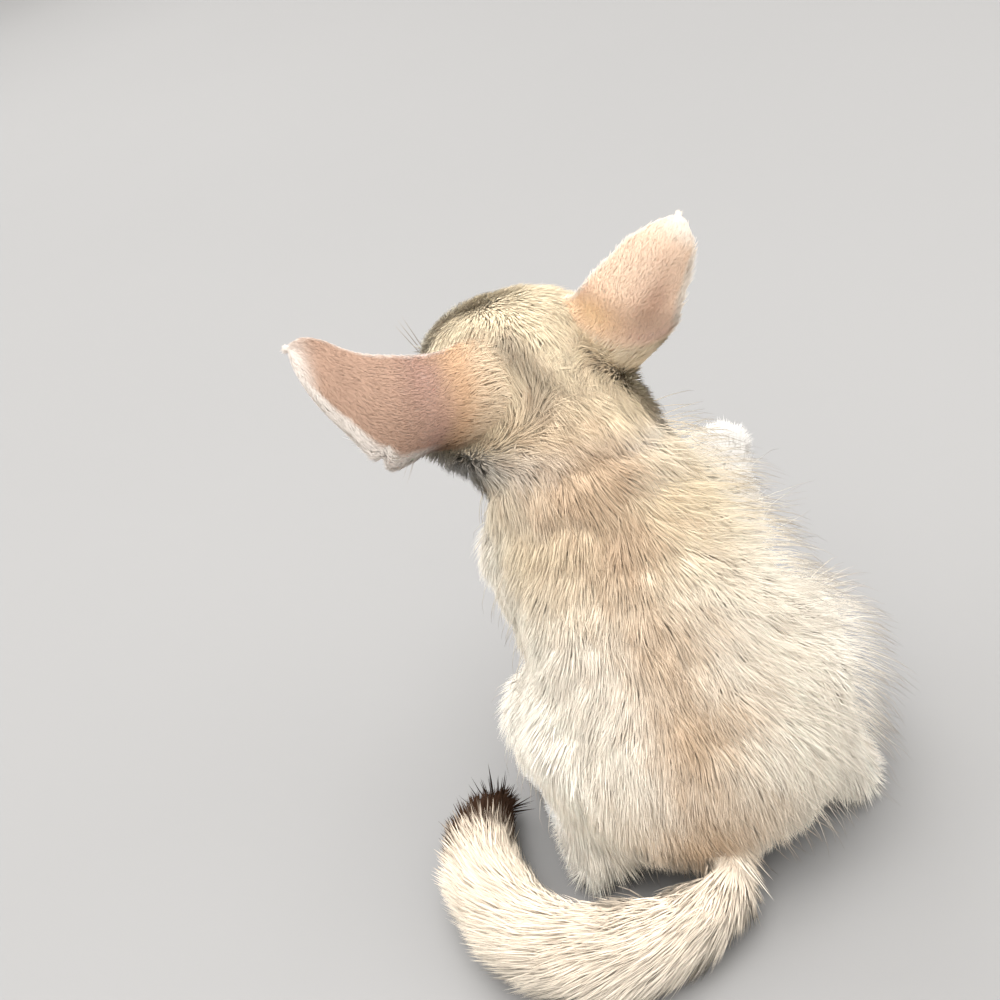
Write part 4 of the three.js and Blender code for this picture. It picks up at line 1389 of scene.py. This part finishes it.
def make_whiskers():
    """Whiskers on both sides of the muzzle, and a few above each eye."""
    paths = []
    for side, sign in SIDES.items():
        for row, count in enumerate(WHISKER_ROWS):
            for k in range(count):
                inside = posed(vec(0, -69 + 2.2 * k, 121.6 - 1.5 * row))
                root = on_skin(inside, HEAD_TURN @ vec(sign, -0.35, 0))
                tilt = 0.22 - 0.2 * row + 0.05 * rng.normal()
                out = HEAD_TURN @ unit(vec(sign, 0.25 + 0.12 * k, tilt))
                sag = HEAD_TURN @ vec(sign * 0.1, 0.6, -0.3)
                length = 20 + 3.5 * k + 3 * rng.random()
                steps = np.linspace(0, 1, WHISKER_STEPS)
                paths.append([root + out * length * t + sag * length * 0.3 * t * t for t in steps])
        for k in range(BROW_WHISKERS):
            above = eye_centre(side) + eye_frame(side) @ vec(-sign * 1.5 + k * 1.4, 5.6, 4.5)
            out = unit(eye_frame(side) @ vec(sign * (0.2 + 0.15 * k), 0.9, 0.5))
            steps = np.linspace(-0.1, 1, WHISKER_STEPS)
            paths.append([above + out * BROW_WHISKER_LENGTH * t for t in steps])
    paths = np.array(paths)
    out = np.tile(UP, (len(paths), 1)) + 0.01
    colour = np.tile(tone(150, 138, 126), (len(paths), 1))
    half = np.full(len(paths), 0.11)
    uv = np.full((len(paths), 2), 0.5)
    strands("whiskers", "coat", paths, unit(out), half, colour * 0.5, colour, uv, flat=0.9)


make_whiskers()


# Claws


FOREPAW_SIZE = (17, 25, 12)  # width, length and height
HIND_FOOT_SIZE = (16, 28, 12)
TOES = 4


def paw_places():
    """Each paw's middle, heading and size, as in the solids."""
    left = WRIST["left"] + PAW_HEADING["left"] * 6
    left[2] = 5.2
    right = WRIST["right"] + PAW_HEADING["right"] * 9
    yield "forepaw_left", left, PAW_HEADING["left"], FOREPAW_SIZE
    yield "forepaw_right", right, PAW_HEADING["right"], FOREPAW_SIZE
    for side, sign in SIDES.items():
        heel = vec(HIP_SHIFT + sign * 37, 20, 0)
        ball = vec(HIP_SHIFT + sign * 42, -24, 0)
        heading = unit(ball - heel)
        yield "hind_foot_" + side, ball + heading * 5 + vec(0, 0, 5.4), heading, HIND_FOOT_SIZE


def make_claws():
    for name, centre, heading, (width, length, height) in paw_places():
        axes = facing(heading)
        parts = []
        for toe in range(TOES):
            spread = (toe - 1.5) / 1.5
            middle = abs(toe - 1.5) < 1
            start = vec(spread * width * 0.35, -height * 0.06, length * (0.44 if middle else 0.32))
            path = []
            for t in np.linspace(0, 1, 8):
                local = start + vec(0, 0.9 * math.sin(t * 2.2) * 0.6 - 1.9 * t * t, 5.6 * t)
                point = axes @ local + centre
                point[2] = max(point[2], 0.5)
                path.append(point)
            parts.append(tube(path, np.linspace(1.0, 0.12, 8)))
        points, faces, _ = joined(parts)
        place_piece(new_mesh("claws_" + name, points, faces), CLAW, "nose")


make_claws()


# Floor, light and finish


FLOOR_RADIUS = 3600
FLOOR_TONE = tone(139, 138, 137)
# Painted light: the far floor and the backdrop are painted paler than the near floor, to make up for
# the lamps reaching them less.
FAR_PAINTED_LIGHT = tone(190, 189, 188)  # lit from far, on the backdrop
SWEEP = 1300  # radius of the bend between floor and backdrop
BACKDROP_HEIGHT = 3200
FAR_FROM_TO = (1900, 4400)  # distances over which the near tone turns to the far one


def make_floor():
    """A floor that sweeps up into a round backdrop, painted paler far out as painted light where the
    lamps reach it less.
    """
    bend = np.linspace(0, math.pi / 2, 17)
    flat = [0.0, *np.linspace(300, FLOOR_RADIUS, 12)]
    radii = [*flat, *(FLOOR_RADIUS + SWEEP * np.sin(bend[1:])), FLOOR_RADIUS + SWEEP]
    heights = [0.0] * len(flat) + [*(SWEEP * (1 - np.cos(bend[1:]))), BACKDROP_HEIGHT]
    around = np.linspace(0, 2 * math.pi, 96, endpoint=False)
    points = [(r * math.cos(a), r * math.sin(a), z) for r, z in zip(radii, heights) for a in around]
    far = smooth(*FAR_FROM_TO, np.linalg.norm(np.array(points)[:, :2], axis=1))
    colours = mix(FLOOR_TONE, FAR_PAINTED_LIGHT, column(far))
    floor = new_mesh("floor", points, ring_faces(len(radii), len(around)), colours)
    floor.data.materials.append(FLOOR)


def area_light(name, place, size, watts):
    data = bpy.data.lights.new(name, "AREA")
    data.size = size
    data.energy = watts
    light = bpy.data.objects.new(name, data)
    light.location = place
    light.rotation_euler = (Vector(MIDDLE) - Vector(place)).to_track_quat("-Z", "Y").to_euler()
    bpy.context.scene.collection.objects.link(light)


MIDDLE = (0, 0, 0.08)
LIGHTS = {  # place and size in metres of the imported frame, and power in watts
    "key": ((0.1, 1.45, 1.5), 1.8, 25),
    "top": ((-0.2, 0.1, 2.1), 1.6, 36),
    "fill": ((-1.6, 0.9, 1.1), 1.4, 16),
    "side": ((1.6, -0.2, 1.1), 1.4, 11),
    "front": ((0.4, -1.7, 1.3), 1.4, 26),
}

make_floor()
for name, light in LIGHTS.items():
    area_light(name, *light)
world = bpy.data.worlds.new("studio")
world.use_nodes = True
set_inputs(world.node_tree.nodes["Background"], Color=(1.0, 0.99, 0.975, 1), Strength=1.4)
bpy.context.scene.world = world
bpy.context.scene.view_settings.view_transform = "Standard"
